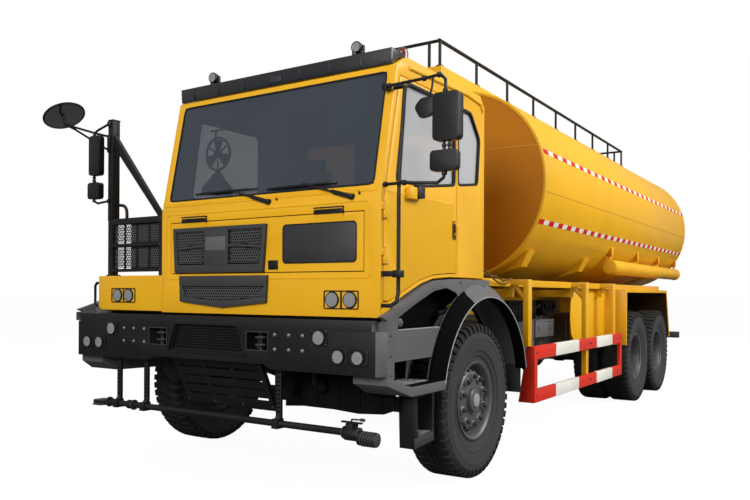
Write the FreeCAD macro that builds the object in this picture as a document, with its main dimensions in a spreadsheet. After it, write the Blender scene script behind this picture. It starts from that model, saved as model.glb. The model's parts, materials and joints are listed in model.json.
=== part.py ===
import FreeCAD, Part
import math
import os
import Sketcher

# Off-highway 6x4 water tanker with an offset cab.
# The frame of every formula below has x forward from the front axle, y to the vehicle's left and z up from
# the ground; each finished piece is then shifted along x, so that the origin lies under the middle.

DOC = FreeCAD.newDocument("WaterTanker")

# ------------------------------------------------------------------ driving sizes, in millimetres
# name, size, what it measures
SIZES = [
    ("vehicle_width", 3500, "over the bumper and the tyres"),
    ("running_gap", 0.3, "between pieces of different bodies that seat on each other"),
    ("panel_gap", 8, "round doors and lids"),
    # wheels
    ("tyre_diameter", 1370, "tyre"),
    ("tyre_width", 375, "section width"),
    ("tread_width", 316, "flat of the tread"),
    ("tread_shoulder", 34, "drop from the tread to the shoulder"),
    ("rim_diameter", 640, "bead seat"),
    ("rim_flange", 24, "height of the flange over the bead seat"),
    ("rim_wall", 18, "rim barrel"),
    ("disc_wall", 20, "wheel disc"),
    ("twin_spacing", 440, "between the middles of twin tyres"),
    ("wheelbase", 5765, "front axle to first rear axle"),
    ("tandem_spacing", 1455, "between the rear axles"),
    ("hub_radius", 190, "wheel hub"),
    ("spindle_radius", 70, "spindle in the hub"),
    ("kingpin_offset", 228, "from the middle of the front tyre inwards"),
    ("kingpin_radius", 42, "kingpin"),
    # ladder frame
    ("rail_spread", 840, "over the frame rails"),
    ("rail_width", 90, "rail flange"),
    ("rail_height", 330, "rail web"),
    ("rail_wall", 12, "rail steel"),
    ("rail_low", 1040, "underside of the rails"),
    ("frame_front", 1320, "front end of the rails"),
    ("frame_back", 9060, "rear end of the rails, behind the front axle"),
    ("engine_back", 700, "rear of the engine block behind the front axle"),
    ("engine_front", 940, "front of the engine block"),
    ("engine_low", 1000, "underside of the engine block"),
    ("engine_top", 1700, "top of the engine block"),
    # bumper
    ("bumper_front", 1620, "front face"),
    ("bumper_depth", 300, "front to back"),
    ("bumper_low", 1033, "lower edge of the ends"),
    ("bumper_top", 1435, "upper edge"),
    ("bumper_rise", 37, "lower edge in the middle over the ends"),
    ("bumper_chamfer", 50, "inwards at the front corners"),
    ("bumper_chamfer_depth", 80, "backwards at the front corners"),
    ("mirror_ahead", 95, "round mirror over the bumper's front face"),
    ("corner_notch", 80, "cut at the upper corners"),
    ("eye_inner", 465, "inner side of the towing eye pocket"),
    ("eye_outer", 690, "outer side of the towing eye pocket"),
    ("eye_low", 1178, "lower side of the pocket"),
    ("eye_top", 1322, "upper side of the pocket"),
    ("tow_pin_radius", 22, "towing pin"),
    ("bumper_grille_top", 702, "width of the bumper grille at its top"),
    ("bumper_grille_bottom", 894, "width of the bumper grille at its bottom"),
    ("bumper_grille_low", 1130, "its lower edge"),
    ("bumper_grille_high", 1363, "its upper edge"),
    ("spray_ahead", 1580, "front spray pipe before the front axle"),
    ("spray_height", 610, "middle of the front spray pipe"),
    ("spray_pipe", 27, "radius of the spray pipe"),
    ("outlet_radius", 52, "hose stub at the end of the spray pipe"),
    ("outlet_length", 150, "hose stub at the end of the spray pipe"),
    ("outlet_start", 1540, "inner end of the hose stub"),
    # cab
    ("cab_right", -600, "right side"),
    ("cab_left", 1700, "left side"),
    ("cab_front", 1560, "front face"),
    ("cab_back", -190, "rear wall"),
    ("cab_low", 1458, "lower edge of the front"),
    ("cab_floor", 1775, "lower edge over the wheel arch"),
    ("cab_crease", 2335, "where the front starts to lean back"),
    ("cab_roof", 3425, "top of the roof"),
    ("cab_lean", 205, "how far the windscreen leans back"),
    ("cab_wall", 55, "walls and doors"),
    ("screen_low", 2430, "lower edge of the windscreen"),
    ("screen_high", 3290, "upper edge of the windscreen"),
    ("screen_edge", 76, "pillar beside the windscreen"),
    ("glass_wall", 8, "glass"),
    ("belt", 2485, "lower edge of the side windows"),
    ("window_top", 3235, "upper edge of the side windows"),
    ("door_front", 1526, "front edge of the door below the crease"),
    ("door_lean", 216, "how far the door's front edge leans back"),
    ("door_back", 360, "rear edge of the door"),
    ("door_low", 1800, "lower edge of the door at its rear"),
    ("door_top", 3270, "upper edge of the door"),
    ("lid_right", -490, "right edge of the front lid"),
    ("lid_left", 1558, "left edge of the front lid"),
    ("lid_low", 1792, "lower edge of the front lid"),
    ("lid_high", 2241, "upper edge of the front lid"),
    ("lid_wall", 30, "front lid"),
    ("roof_lamp_height", 3545, "middle of the roof lamps"),
    ("lamp_radius", 62, "single lamps"),
    ("twin_lamp_radius", 58, "lamps side by side in the bumper"),
    ("roof_lamp_radius", 44, "lamps on the roof"),
    ("dash_low", 1990, "underside of the dashboard"),
    ("hand_wheel_height", 2296, "middle of the steering wheel"),
    ("seat_low", 2060, "underside of the seat cushion"),
    ("seat_depth", 500, "front to back of the seat cushion"),
    ("seat_width", 500, "seat cushion"),
    ("seat_pitch", 1100, "between the two seats"),
    # deck beside the cab, mirrors and grab bars
    ("deck_right", -1480, "right side of the deck box"),
    ("deck_top", 1785, "top of the deck box"),
    ("mast_top", 3250, "top of the mirror mast"),
    ("mast_frame_top", 2318, "top of the guard frame beside the mast"),
    ("mirror_tube", 12, "radius of the left mirror arms"),
    ("mast_tube", 11, "radius of the right mirror arms"),
    ("mirror_plane", 1452, "left mirrors before the front axle"),
    ("right_mirror_plane", 1562, "right mirror rod before the front axle"),
    ("round_mirror", 205, "radius of the round mirror"),
    ("round_mirror_height", 3396, "middle of the round mirror"),
    ("grab_y", 1815, "middle of the grab bar from the vehicle's middle"),
    ("grab_radius", 15, "grab bar tube"),
    # tank
    ("tank_half_width", 1750, "middle to side"),
    ("tank_half_height", 1189, "middle to top"),
    ("tank_middle", 2875, "height of the middle"),
    ("tank_front", 1661, "front head behind the front axle"),
    ("tank_back", 9377, "rear head behind the front axle"),
    ("tank_top_radius", 3300, "top and bottom curve of the section"),
    ("tank_side_radius", 3000, "side curve of the section"),
    ("tank_corner_radius", 1070, "corner curve of the section"),
    ("walkway_half", 560, "middle to the edge of the walkway"),
    ("walkway_top", 4257, "top of the walkway coaming"),
    ("rail_top", 4550, "middle of the hand rail"),
    ("rail_post", 44, "hand rail tube"),
    ("rail_ahead", 146, "first post of the hand rail before the front head"),
    ("rail_inset", 22, "last post before the rear head"),
    # side gear
    ("beam_low", 1715, "underside of the side beam"),
    ("beam_side", 75, "square tube"),
    ("guard_front", 1362, "front of the side guard behind the front axle"),
    ("guard_back", 4797, "rear of the side guard"),
    ("guard_low", 494, "lower edge"),
    ("guard_high", 1089, "upper edge"),
    ("guard_rail", 140, "height of its rails"),
    # front wings
    ("arch_radius", 865, "wheel arch lip"),
    ("arch_foot", 985, "where the flare of the arch meets the panel"),
    ("arch_flare", 100, "lip outside the bumper's width"),
    ("arch_middle", 735, "height of the arch's centre"),
    ("arch_back", 20, "arch centre behind the front axle"),
    ("wing_top", 1758, "top of the wing"),
]

NAMES = {name for name, _, _ in SIZES}


class Size:
    """A length and the formula that gives it: the number places it, the formula binds it to the sheet."""

    def __init__(self, value, formula):
        self.value, self.formula = float(value), formula

    @staticmethod
    def of(other):
        return other if isinstance(other, Size) else Size(other, repr(float(other)))

    def __add__(self, other):
        other = Size.of(other)
        return Size(self.value + other.value, f"({self.formula} + {other.formula})")

    def __sub__(self, other):
        other = Size.of(other)
        return Size(self.value - other.value, f"({self.formula} - ({other.formula}))")

    def __mul__(self, other):
        other = Size.of(other)
        return Size(self.value * other.value, f"({self.formula} * ({other.formula}))")

    def __truediv__(self, other):
        other = Size.of(other)
        return Size(self.value / other.value, f"({self.formula} / ({other.formula}))")

    def __neg__(self):
        return Size(-self.value, f"(0 - ({self.formula}))")

    def __rsub__(self, other):
        return Size.of(other) - self

    __radd__ = __add__
    __rmul__ = __mul__


class Sheet:
    """The driving sizes in a spreadsheet, each read as an attribute of its own name."""

    def __init__(self, rows):
        self.cells = DOC.addObject("Spreadsheet::Sheet", "sizes")
        for row, (name, value, meaning) in enumerate(rows, 1):
            self.cells.set(f"A{row}", name)
            self.cells.set(f"B{row}", str(value))
            self.cells.set(f"C{row}", meaning)
            self.cells.setAlias(f"B{row}", name)
            setattr(self, name, Size(value, f"sizes.{name}"))


S = Sheet(SIZES)
DOC.recompute()

AXES = ("x", "y", "z")
PLANES = {"XY": "XY_Plane", "XZ": "XZ_Plane", "YZ": "YZ_Plane"}


# ------------------------------------------------------------------ ways of making a piece
def bind(thing, prop, size):
    """Sets a property from a size, bound to the sheet where the size is."""
    size = Size.of(size)
    if "sizes." in size.formula:
        thing.setExpression(prop, size.formula)
    else:
        target, _, last = prop.rpartition(".")
        if target:
            thing.setExpression(prop, repr(size.value))
        else:
            setattr(thing, last, size.value)


def place(thing, position, rotation=None):
    """Puts an object's own origin at a position."""
    if rotation:
        thing.Placement = FreeCAD.Placement(FreeCAD.Vector(), rotation)
    for axis, size in zip(AXES, position):
        bind(thing, f"Placement.Base.{axis}", size)
    return thing


def box(x, y, z):
    """A block from its (low, high) sizes along each axis."""
    block = DOC.addObject("Part::Box", "block")
    for prop, (low, high) in zip(("Length", "Width", "Height"), (x, y, z)):
        bind(block, prop, Size.of(high) - low)
    return place(block, (x[0], y[0], z[0]))


TURNS = {
    "x": FreeCAD.Rotation(FreeCAD.Vector(0, 1, 0), 90),
    "y": FreeCAD.Rotation(FreeCAD.Vector(1, 0, 0), -90),
    "z": FreeCAD.Rotation(),
}


def rod(axis, start, length, radius):
    """A round bar along an axis from its start."""
    bar = DOC.addObject("Part::Cylinder", "bar")
    bind(bar, "Radius", radius)
    bind(bar, "Height", length)
    return place(bar, start, TURNS[axis])


def outline_sketch(body, plane, points, offset=0):
    """A closed outline on one of the body's origin planes.

    points holds (u, v) or (u, v, radius): with a radius, the edge that leaves the point is an arc that
    bulges to the outside of an outline drawn anticlockwise, or to the inside where the radius is negative.
    """
    sketch = body.newObject("Sketcher::SketchObject", "outline")
    origin = next(f for f in body.Origin.OriginFeatures if f.Role == PLANES[plane])
    sketch.AttachmentSupport = [(origin, "")]
    sketch.MapMode = "FlatFace"
    bind(sketch, ".AttachmentOffset.Base.z", offset)
    corners = [(Size.of(p[0]), Size.of(p[1])) for p in points]
    count = len(points)
    for i, point in enumerate(points):
        here, there = corners[i], corners[(i + 1) % count]
        a = FreeCAD.Vector(here[0].value, here[1].value, 0)
        b = FreeCAD.Vector(there[0].value, there[1].value, 0)
        if len(point) == 2:
            sketch.addGeometry(Part.LineSegment(a, b), False)
            continue
        radius = Size.of(point[2]).value
        chord = b - a
        side = FreeCAD.Vector(-chord.y, chord.x, 0).normalize()
        drop = math.sqrt(radius * radius - chord.Length * chord.Length / 4)
        if radius > 0:
            centre = (a + b) * 0.5 + side * drop
            middle = centre - side * radius
        else:
            centre = (a + b) * 0.5 - side * drop
            middle = centre + side * -radius
        sketch.addGeometry(Part.Arc(a, middle, b), False)
    starts = []
    for i in range(count):
        curve = sketch.Geometry[i]
        first = curve.StartPoint if hasattr(curve, "StartPoint") else curve.startPoint()
        near = (first - FreeCAD.Vector(corners[i][0].value, corners[i][1].value, 0)).Length < 1e-6
        starts.append((1, 2) if near else (2, 1))
    for i in range(count):
        after = (i + 1) % count
        sketch.addConstraint(Sketcher.Constraint("Coincident", i, starts[i][1], after, starts[after][0]))
    for i, (u, v) in enumerate(corners):
        for kind, size in (("DistanceX", u), ("DistanceY", v)):
            index = sketch.addConstraint(Sketcher.Constraint(kind, -1, 1, i, starts[i][0], size.value))
            if "sizes." in size.formula:
                sketch.setExpression(f"Constraints[{index}]", size.formula)
    for i, point in enumerate(points):
        if len(point) == 3:
            radius = Size.of(point[2])
            index = sketch.addConstraint(Sketcher.Constraint("Radius", i, abs(radius.value)))
            if "sizes." in radius.formula:
                sign = "" if radius.value > 0 else "0 - "
                sketch.setExpression(f"Constraints[{index}]", f"{sign}({radius.formula})")
    return sketch


def profile(plane, points, low, high):
    """An outline on a plane, padded from low to high along the plane's axis."""
    body = DOC.addObject("PartDesign::Body", "profile")
    offset = -Size.of(high) if plane == "XZ" else Size.of(low)
    sketch = outline_sketch(body, plane, points, offset)
    pad = body.newObject("PartDesign::Pad", "pad")
    pad.Profile = sketch
    bind(pad, "Length", Size.of(high) - low)
    return body


def turned(points, centre=(0, 0, 0)):
    """An outline of (y, radius) points turned about an axis along y through a centre."""
    body = DOC.addObject("PartDesign::Body", "turned")
    sketch = outline_sketch(body, "YZ", points)
    turn = body.newObject("PartDesign::Revolution", "turn")
    turn.Profile = sketch
    turn.ReferenceAxis = (sketch, ["H_Axis"])
    turn.Angle = 360
    return place(body, centre)


def spun(points, centre):
    """An outline of (x, radius) points turned about an axis along x through a centre."""
    body = turned(points)
    body.Placement = FreeCAD.Placement(FreeCAD.Vector(), FreeCAD.Rotation(FreeCAD.Vector(0, 0, 1), -90))
    return place(body, centre, body.Placement.Rotation)


def strut(start, end, radius, reach=(0, 0)):
    """A straight tube with eight flats between two points, run past either end by its reach."""
    first, last = (FreeCAD.Vector(*[Size.of(v).value for v in p]) for p in (start, end))
    along = (last - first).normalize()
    first, last = first - along * reach[0], last + along * reach[1]
    bar = DOC.addObject("Part::Prism", "strut")
    bar.Polygon = 8
    bind(bar, "Circumradius", radius)
    bar.Height = (last - first).Length
    bar.Placement = FreeCAD.Placement(first, FreeCAD.Rotation(FreeCAD.Vector(0, 0, 1), along))
    return bar


def bent(points, radius):
    """A bent tube: straight lengths that run into each other at the bends."""
    last = len(points) - 2
    lap = Size.of(radius).value * 0.4
    return joined(*[
        strut(start, end, radius, (lap if i > 0 else 0, lap if i < last else 0))
        for i, (start, end) in enumerate(zip(points, points[1:]))
    ])


def rounded(u, v, radius):
    """The outline of a rectangle with rounded corners, from its (low, high) sizes."""
    (u0, u1), (v0, v1), r = u, v, Size.of(radius)
    return [
        (u0 + r, v0), (u1 - r, v0, r), (u1, v0 + r), (u1, v1 - r, r),
        (u1 - r, v1), (u0 + r, v1, r), (u0, v1 - r), (u0, v0 + r, r),
    ]


def joined(*pieces):
    """Pieces welded or moulded into one."""
    if len(pieces) == 1:
        return pieces[0]
    whole = DOC.addObject("Part::MultiFuse", "joined")
    whole.Shapes = list(pieces)
    whole.Refine = True
    return whole


def group(*pieces):
    """Separate like pieces that share a node."""
    whole = DOC.addObject("Part::Compound", "group")
    whole.Links = list(pieces)
    return whole


def cut(base, *tools):
    """A piece less its cut-outs."""
    rest = DOC.addObject("Part::Cut", "cut")
    rest.Base = base
    rest.Tool = joined(*tools)
    return rest


def mirrored(piece, across="y"):
    """The same piece on the vehicle's other side."""
    other = DOC.addObject("Part::Mirroring", "mirrored")
    other.Source = piece
    other.Normal = FreeCAD.Vector(*[1.0 if a == across else 0.0 for a in AXES])
    return other


FINISHED = []


def finished(label, piece):
    """Names a finished piece and shifts it so that the origin is under the middle of the vehicle."""
    holder = DOC.addObject("Part::Compound", "piece")
    holder.Links = [piece]
    holder.Label = label
    bind(holder, "Placement.Base.x", SHIFT)
    FINISHED.append(holder)
    return holder


# ------------------------------------------------------------------ places worked out from the sizes
HALF = S.vehicle_width / 2
REAR_REACH = S.tank_back + S.rail_post - S.rail_inset
SHIFT = (REAR_REACH - S.bumper_front - S.mirror_ahead) / 2
WHEEL_Z = S.tyre_diameter / 2
TYRE_Y = HALF - S.tyre_width / 2
TWIN_Y = TYRE_Y - S.twin_spacing / 2
REAR_AXLES = {"rear_1": -S.wheelbase, "rear_2": -(S.wheelbase + S.tandem_spacing)}
KINGPIN_Y = TYRE_Y - S.kingpin_offset
RAIL_OUT = S.rail_spread / 2
RAIL_TOP = S.rail_low + S.rail_height
RAIL_POSTS = 9
RAIL_FIRST = S.rail_ahead - S.tank_front
RAIL_PITCH = (S.tank_back - S.rail_inset + RAIL_FIRST) / (RAIL_POSTS - 1)
BUMPER_BACK = S.bumper_front - S.bumper_depth
WING_INSIDE = S.cab_left - 250
# top line of the front wings from their front end to the flat top behind, and how far the cab stands off it
WING_LINE = ((1614, 1465), (1427, 1522), (1206, 1611), (970, 1695), (767, 1740), (469, S.wing_top))


# ------------------------------------------------------------------ wheels
def tyre_section(middle):
    """Half section of a tyre about its middle: tread, shoulders, sidewalls and bead."""
    outer = S.tyre_diameter / 2
    bead = S.rim_diameter / 2
    half, tread = S.tyre_width / 2, S.tread_width / 2
    side = (outer + bead) / 2
    seat = bead + S.rim_flange + 6
    right = [
        (middle + half * 0.72, bead),
        (middle + half * 0.72, seat),
        (middle + half, side - 20),
        (middle + half * 0.97, outer - S.tread_shoulder * 2.4),
        (middle + tread, outer),
    ]
    left = [
        (middle - tread, outer),
        (middle - half * 0.97, outer - S.tread_shoulder * 2.4),
        (middle - half, side - 20),
        (middle - half * 0.72, seat),
        (middle - half * 0.72, bead),
    ]
    return right + left


def front_rim_section(middle):
    """Rim, dished disc and protruding hub, as (y, radius) with y outwards."""
    bead = S.rim_diameter / 2 - S.running_gap
    flange = bead + S.rim_flange
    barrel = bead - S.rim_wall
    half = S.tyre_width / 2 * 0.72
    disc = middle + 62
    return [
        (middle - half - S.running_gap, bead),
        (middle - half - S.running_gap, flange),
        (middle - half - 14, flange),
        (middle - half - 14, barrel),
        (disc - S.disc_wall, barrel - 6),
        (disc - S.disc_wall, S.hub_radius - 20),
        (middle - 60, S.hub_radius - 20),
        (middle - 60, S.spindle_radius + S.running_gap),
        (disc + 20, S.spindle_radius + S.running_gap),
        (disc + 20, 0),
        (middle + half + 28, 0),
        (middle + half + 28, 78),
        (middle + half, 96),
        (disc + 44, 110),
        (disc + 44, S.hub_radius - 22),
        (disc, S.hub_radius),
        (disc, barrel - 16),
        (middle + half + 14, barrel),
        (middle + half + 14, flange),
        (middle + half + S.running_gap, flange),
        (middle + half + S.running_gap, bead),
    ]


def rear_rim_section(middle):
    """Twin rims on one hub: the discs meet between the tyres and the outer rim is a deep dish."""
    bead = S.rim_diameter / 2 - S.running_gap
    flange = bead + S.rim_flange
    barrel = bead - S.rim_wall
    reach = S.twin_spacing / 2 + S.tyre_width / 2 * 0.72
    disc = middle + S.disc_wall
    return [
        (middle - reach - S.running_gap, bead),
        (middle - reach - S.running_gap, flange),
        (middle - reach - 14, flange),
        (middle - reach - 14, barrel),
        (disc - S.disc_wall * 2, barrel - 10),
        (disc - S.disc_wall * 2, S.hub_radius - 20),
        (middle - 250, S.hub_radius - 20),
        (middle - 250, S.spindle_radius + S.running_gap),
        (middle + 150, S.spindle_radius + S.running_gap),
        (middle + 150, 0),
        (middle + 190, 0),
        (middle + 190, 92),
        (middle + 60, 128),
        (middle + 60, S.hub_radius - 22),
        (disc, S.hub_radius),
        (disc, barrel - 10),
        (middle + reach + 14, barrel),
        (middle + reach + 14, flange),
        (middle + reach + S.running_gap, flange),
        (middle + reach + S.running_gap, bead),
    ]


def wheels():
    """Two single front wheels and four pairs of twins; each tyre and each rim is its own piece."""
    for side in ("left", "right"):
        tyre = turned(tyre_section(TYRE_Y), (0, 0, WHEEL_Z))
        rim = turned(front_rim_section(TYRE_Y), (0, 0, WHEEL_Z))
        if side == "right":
            tyre, rim = mirrored(tyre), mirrored(rim)
        finished(f"front_{side}_tyre", tyre)
        finished(f"front_{side}_rim", rim)
    for name, x in REAR_AXLES.items():
        for side in ("left", "right"):
            outer = turned(tyre_section(TYRE_Y), (x, 0, WHEEL_Z))
            inner = turned(tyre_section(TYRE_Y - S.twin_spacing), (x, 0, WHEEL_Z))
            tyres = group(outer, inner)
            rims = turned(rear_rim_section(TWIN_Y), (x, 0, WHEEL_Z))
            if side == "right":
                tyres, rims = mirrored(tyres), mirrored(rims)
            finished(f"{name}_{side}_tyres", tyres)
            finished(f"{name}_{side}_rims", rims)


# ------------------------------------------------------------------ axles, steering and springs
BEAM_END = KINGPIN_Y - 96
FRONT_SEAT = 770
REAR_SEAT = 810


def axles():
    """Front beam with its knuckles, rear axle casings, propeller shafts and leaf springs."""
    fork = 70
    spring_y = RAIL_OUT + 60

    def beam_end():
        """One end of the front beam: the rise to the kingpin and the seat of the spring."""
        return joined(
            box((-60, 60), (BEAM_END - 100, BEAM_END), (WHEEL_Z - 170, WHEEL_Z + fork)),
            box((-50, 50), (BEAM_END, KINGPIN_Y - 30), (WHEEL_Z - fork, WHEEL_Z + fork)),
            rod("z", (0, KINGPIN_Y, WHEEL_Z - fork), fork * 2, 62),
            box((-110, 110), (spring_y - 50, spring_y + 50), (WHEEL_Z - 40, FRONT_SEAT)),
        )

    beam = joined(
        box((-60, 60), (-BEAM_END + 50, BEAM_END - 50), (WHEEL_Z - 170, WHEEL_Z - 40)),
        beam_end(),
        mirrored(beam_end()),
    )
    pins = [
        rod("z", (0, y, WHEEL_Z - 200), 400, S.kingpin_radius + S.running_gap) for y in (KINGPIN_Y, -KINGPIN_Y)
    ]
    finished("front_axle", cut(beam, *pins))

    for side in ("left", "right"):
        knuckle = joined(
            rod("z", (0, KINGPIN_Y, WHEEL_Z - 140), 280, S.kingpin_radius),
            *[
                joined(
                    rod("z", (0, KINGPIN_Y, z), 56, 66),
                    box((-56, 56), (KINGPIN_Y + 10, KINGPIN_Y + 90), (z, z + 56)),
                )
                for z in (WHEEL_Z - fork - 58, WHEEL_Z + fork + 2)
            ],
            box((-90, 90), (KINGPIN_Y + 72, KINGPIN_Y + 104), (WHEEL_Z - fork - 58, WHEEL_Z + fork + 58)),
            rod("y", (0, KINGPIN_Y + 90, WHEEL_Z), S.kingpin_offset + 62 + 18 - 90, S.spindle_radius),
        )
        if side == "right":
            knuckle = mirrored(knuckle)
        finished(f"steering_knuckle_{side}", knuckle)

    casings = []
    for x in REAR_AXLES.values():
        half_ball = [(-270, 0), (270, 0), (250, 104), (150, 226), (60, 264), (-60, 264), (-150, 226), (-250, 104)]
        ball = turned(half_ball, (x, 0, WHEEL_Z))
        casings.append(
            joined(
                ball,
                rod("y", (x, -(TWIN_Y - 262), WHEEL_Z), (TWIN_Y - 262) * 2, 112),
                rod("y", (x, -(TWIN_Y + 149), WHEEL_Z), (TWIN_Y + 149) * 2, S.spindle_radius),
                rod("x", (x, 0, WHEEL_Z), 400, 110),
                *[
                    box((x - 80, x + 80), (y - 50, y + 50), (WHEEL_Z, REAR_SEAT))
                    for y in (spring_y, -spring_y)
                ],
            )
        )
    shafts = [
        rod("x", (REAR_AXLES["rear_2"] + 400, 0, WHEEL_Z), S.tandem_spacing - 670 + 20, 60),
        rod("x", (REAR_AXLES["rear_1"] + 400, 0, WHEEL_Z), S.wheelbase - 400 - 1500, 60),
    ]
    finished("rear_axles", joined(*casings, *shafts))

    springs = []
    middle = -(S.wheelbase + S.tandem_spacing / 2)
    for side in (1, -1):
        y = spring_y * side
        low, high = sorted((RAIL_OUT.value * side, (RAIL_OUT + 110).value * side))
        leaves = [
            (-760, 990), (-120, FRONT_SEAT), (120, FRONT_SEAT), (760, 990), (760, 1020), (0, 900), (-760, 1020),
        ]
        springs.append(
            joined(
                profile("XZ", leaves, y - 50, y + 50),
                box((-800, -740), (low, high), (970, 1240)),
                box((740, 800), (low, high), (970, 1240)),
            )
        )
        springs.append(
            joined(
                profile(
                    "XZ",
                    [(middle - 820, REAR_SEAT), (middle - 640, REAR_SEAT), (middle, 930), (middle + 640, REAR_SEAT),
                     (middle + 820, REAR_SEAT), (middle + 820, 850), (middle + 120, 1130), (middle - 120, 1130),
                     (middle - 820, 850)],
                    y - 50,
                    y + 50,
                ),
                box((middle - 130, middle + 130), (low, high), (940, 1260)),
            )
        )
    finished("leaf_springs", group(*springs))


# ------------------------------------------------------------------ ladder frame and what it carries
def ladder_frame():
    """Two channel rails joined by cross members."""
    length = (-S.frame_back, S.frame_front)
    rails = []
    for side in (1, -1):
        out, inside = RAIL_OUT * side, (RAIL_OUT - S.rail_width) * side
        low, high = (inside, out) if side > 0 else (out, inside)
        wall = S.rail_wall * side
        hollow = (inside - 5, out - wall) if side > 0 else (out - wall, inside + 5)
        rails.append(
            cut(
                box(length, (low, high), (S.rail_low, RAIL_TOP)),
                box(
                    (-S.frame_back - 1, S.frame_front + 1),
                    hollow,
                    (S.rail_low + S.rail_wall, RAIL_TOP - S.rail_wall),
                ),
            )
        )
    inner = RAIL_OUT - S.rail_wall
    members = [
        box((x - 60, x + 60), (-inner, inner), (S.rail_low + S.rail_wall, RAIL_TOP - S.rail_wall))
        for x in (S.frame_front - 70, -1500, -3400, -S.wheelbase - S.tandem_spacing / 2, -S.frame_back + 80)
    ]
    cab_mounts = [
        box(x, (low, high), (RAIL_TOP, S.cab_floor))
        for x in ((-150, -70), (400, 470))
        for low, high in ((RAIL_OUT - S.rail_width, RAIL_OUT), (-RAIL_OUT, S.rail_width - RAIL_OUT))
    ]
    finished("ladder_frame", joined(*rails, *members))
    finished("cab_mounts", group(*cab_mounts))


def engine():
    """The engine as one plain block at its place under the cab."""
    between_rails = (S.rail_width - RAIL_OUT, RAIL_OUT - S.rail_width)
    finished(
        "engine_block", box((-S.engine_back, S.engine_front), between_rails, (S.engine_low, S.engine_top))
    )


def side_tanks():
    """Fuel tank, battery box and air tanks hung on the rails."""
    pieces = [
        box((-2700, -1720), (RAIL_OUT, 1250), (760, 1330)),
        box((-4300, -3000), (RAIL_OUT, 1150), (780, 1380)),
        box((-4300, -1720), (-1250, -RAIL_OUT), (760, 1330)),
    ]
    finished("side_tanks", group(*pieces))


# ------------------------------------------------------------------ bumper and what hangs under it
def bumper():
    """Front bumper with chamfered ends, stepped lower edge, lamp, grille and towing pockets."""
    front, back = S.bumper_front, BUMPER_BACK
    side = front - S.bumper_chamfer_depth
    plan = [
        (back, -WING_INSIDE),
        (side, -WING_INSIDE),
        (side, -HALF),
        (front, -HALF + S.bumper_chamfer),
        (front, HALF - S.bumper_chamfer),
        (side, HALF),
        (side, WING_INSIDE),
        (back, WING_INSIDE),
    ]
    beam = profile("XY", plan, S.bumper_low, S.bumper_top)
    rise = profile(
        "YZ",
        [
            (-720, S.bumper_low - 1),
            (720, S.bumper_low - 1),
            (645, S.bumper_low + S.bumper_rise),
            (-645, S.bumper_low + S.bumper_rise),
        ],
        back - 1,
        front + 1,
    )
    top, low = S.bumper_grille_top / 2, S.bumper_grille_bottom / 2
    grille = profile(
        "YZ",
        [
            (-low, S.bumper_grille_low),
            (low, S.bumper_grille_low),
            (top, S.bumper_grille_high),
            (-top, S.bumper_grille_high),
        ],
        front - 60,
        front + 1,
    )
    arch = profile(
        "YZ",
        [
            (-top - 30, S.bumper_grille_high),
            (top + 30, S.bumper_grille_high),
            (top - 20, S.bumper_grille_high + 36),
            (20 - top, S.bumper_grille_high + 36),
        ],
        front - 5,
        front + 9,
    )
    notches = [
        box((back - 1, front + 1), pair, (S.bumper_top - 76, S.bumper_top + 1))
        for pair in ((HALF - S.corner_notch, HALF + 1), (-HALF - 1, -HALF + S.corner_notch))
    ]
    eyes = [
        box((front - 130, front + 1), pair, (S.eye_low, S.eye_top))
        for pair in ((S.eye_inner, S.eye_outer), (-S.eye_outer, -S.eye_inner))
    ]
    shell = cut(beam, rise, grille, *notches, *eyes)
    middle = (S.eye_inner + S.eye_outer) / 2
    pins = [
        rod("z", (front - 55, y, S.eye_low - 10), S.eye_top - S.eye_low + 20, S.tow_pin_radius)
        for y in (middle, -middle)
    ]
    finished("front_bumper", joined(shell, arch, *pins))

    plate = profile("XZ", [(1302, 641), (1516, 1070), (1486, 1070), (1276, 655)], -520, 520)
    slots = [
        box((1200, 1600), (y - 95, y + 95), (z - 11, z + 11))
        for y in (-372, -124, 124, 372)
        for z in (762, 850, 938)
    ]
    finished("skid_plate", cut(plate, *slots))

    x, z, start = S.spray_ahead, S.spray_height, S.outlet_start
    bar = joined(
        rod("y", (x, -1300, z), start + 1300, S.spray_pipe),
        rod("y", (x, start, z - 30), S.outlet_length, S.outlet_radius),
        rod("y", (x, start - 120, z - 8), 120, 48),
        box((x - 40, x + 40), (1440, 1500), (z - 20, z + 75)),
        box((x - 12, x + 12), (1380, 1560), (z + 72, z + 84)),
        box((x - 60, x + 60), (-1440, -1290), (z - 28, z + 12)),
        rod("y", (x, -1010, z), 70, 40),
        *[
            joined(
                box((x - 32, x - 8), (y - 26, y + 26), (z, S.bumper_low - S.running_gap)),
                box((x - 40, x + 40), (y - 30, y + 30), (z - 38, z + 38)),
            )
            for y in (-1160, -790, 760)
        ],
    )
    finished("front_spray_bar", bar)


# ------------------------------------------------------------------ cab
def cab_outline(inset=0):
    """The cab's side outline, anticlockwise from the rear lower corner, moved inwards by inset."""
    f = Size.of(inset)
    if inset:
        toe = [(S.cab_front - 128, S.cab_low + 82 + f), (S.cab_front - f, S.cab_low + 82 + f)]
    else:
        toe = [(S.cab_front - 128, S.cab_low + 82), (S.cab_front - 120, S.cab_low), (S.cab_front, S.cab_low)]
    return [
        (S.cab_back + f, S.cab_floor + f),
        (480, S.cab_floor + f),
        (772, S.cab_floor - 18 + f),
        (978, S.cab_floor - 62 + f),
        (1213, S.cab_floor - 146 + f),
        *toe,
        (S.cab_front - f, S.cab_crease),
        (S.cab_front - S.cab_lean - f, S.cab_roof - 90 - f),
        (S.cab_front - S.cab_lean - 150 - f, S.cab_roof - f),
        (S.cab_back + 90 + f, S.cab_roof - f),
        (S.cab_back + f, S.cab_roof - 90 - f),
    ]


def lean_at(height):
    """x of the front face at a height above the crease."""
    share = (Size.of(height) - S.cab_crease) / (S.cab_roof - 90 - S.cab_crease)
    return S.cab_front - S.cab_lean * share


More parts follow.
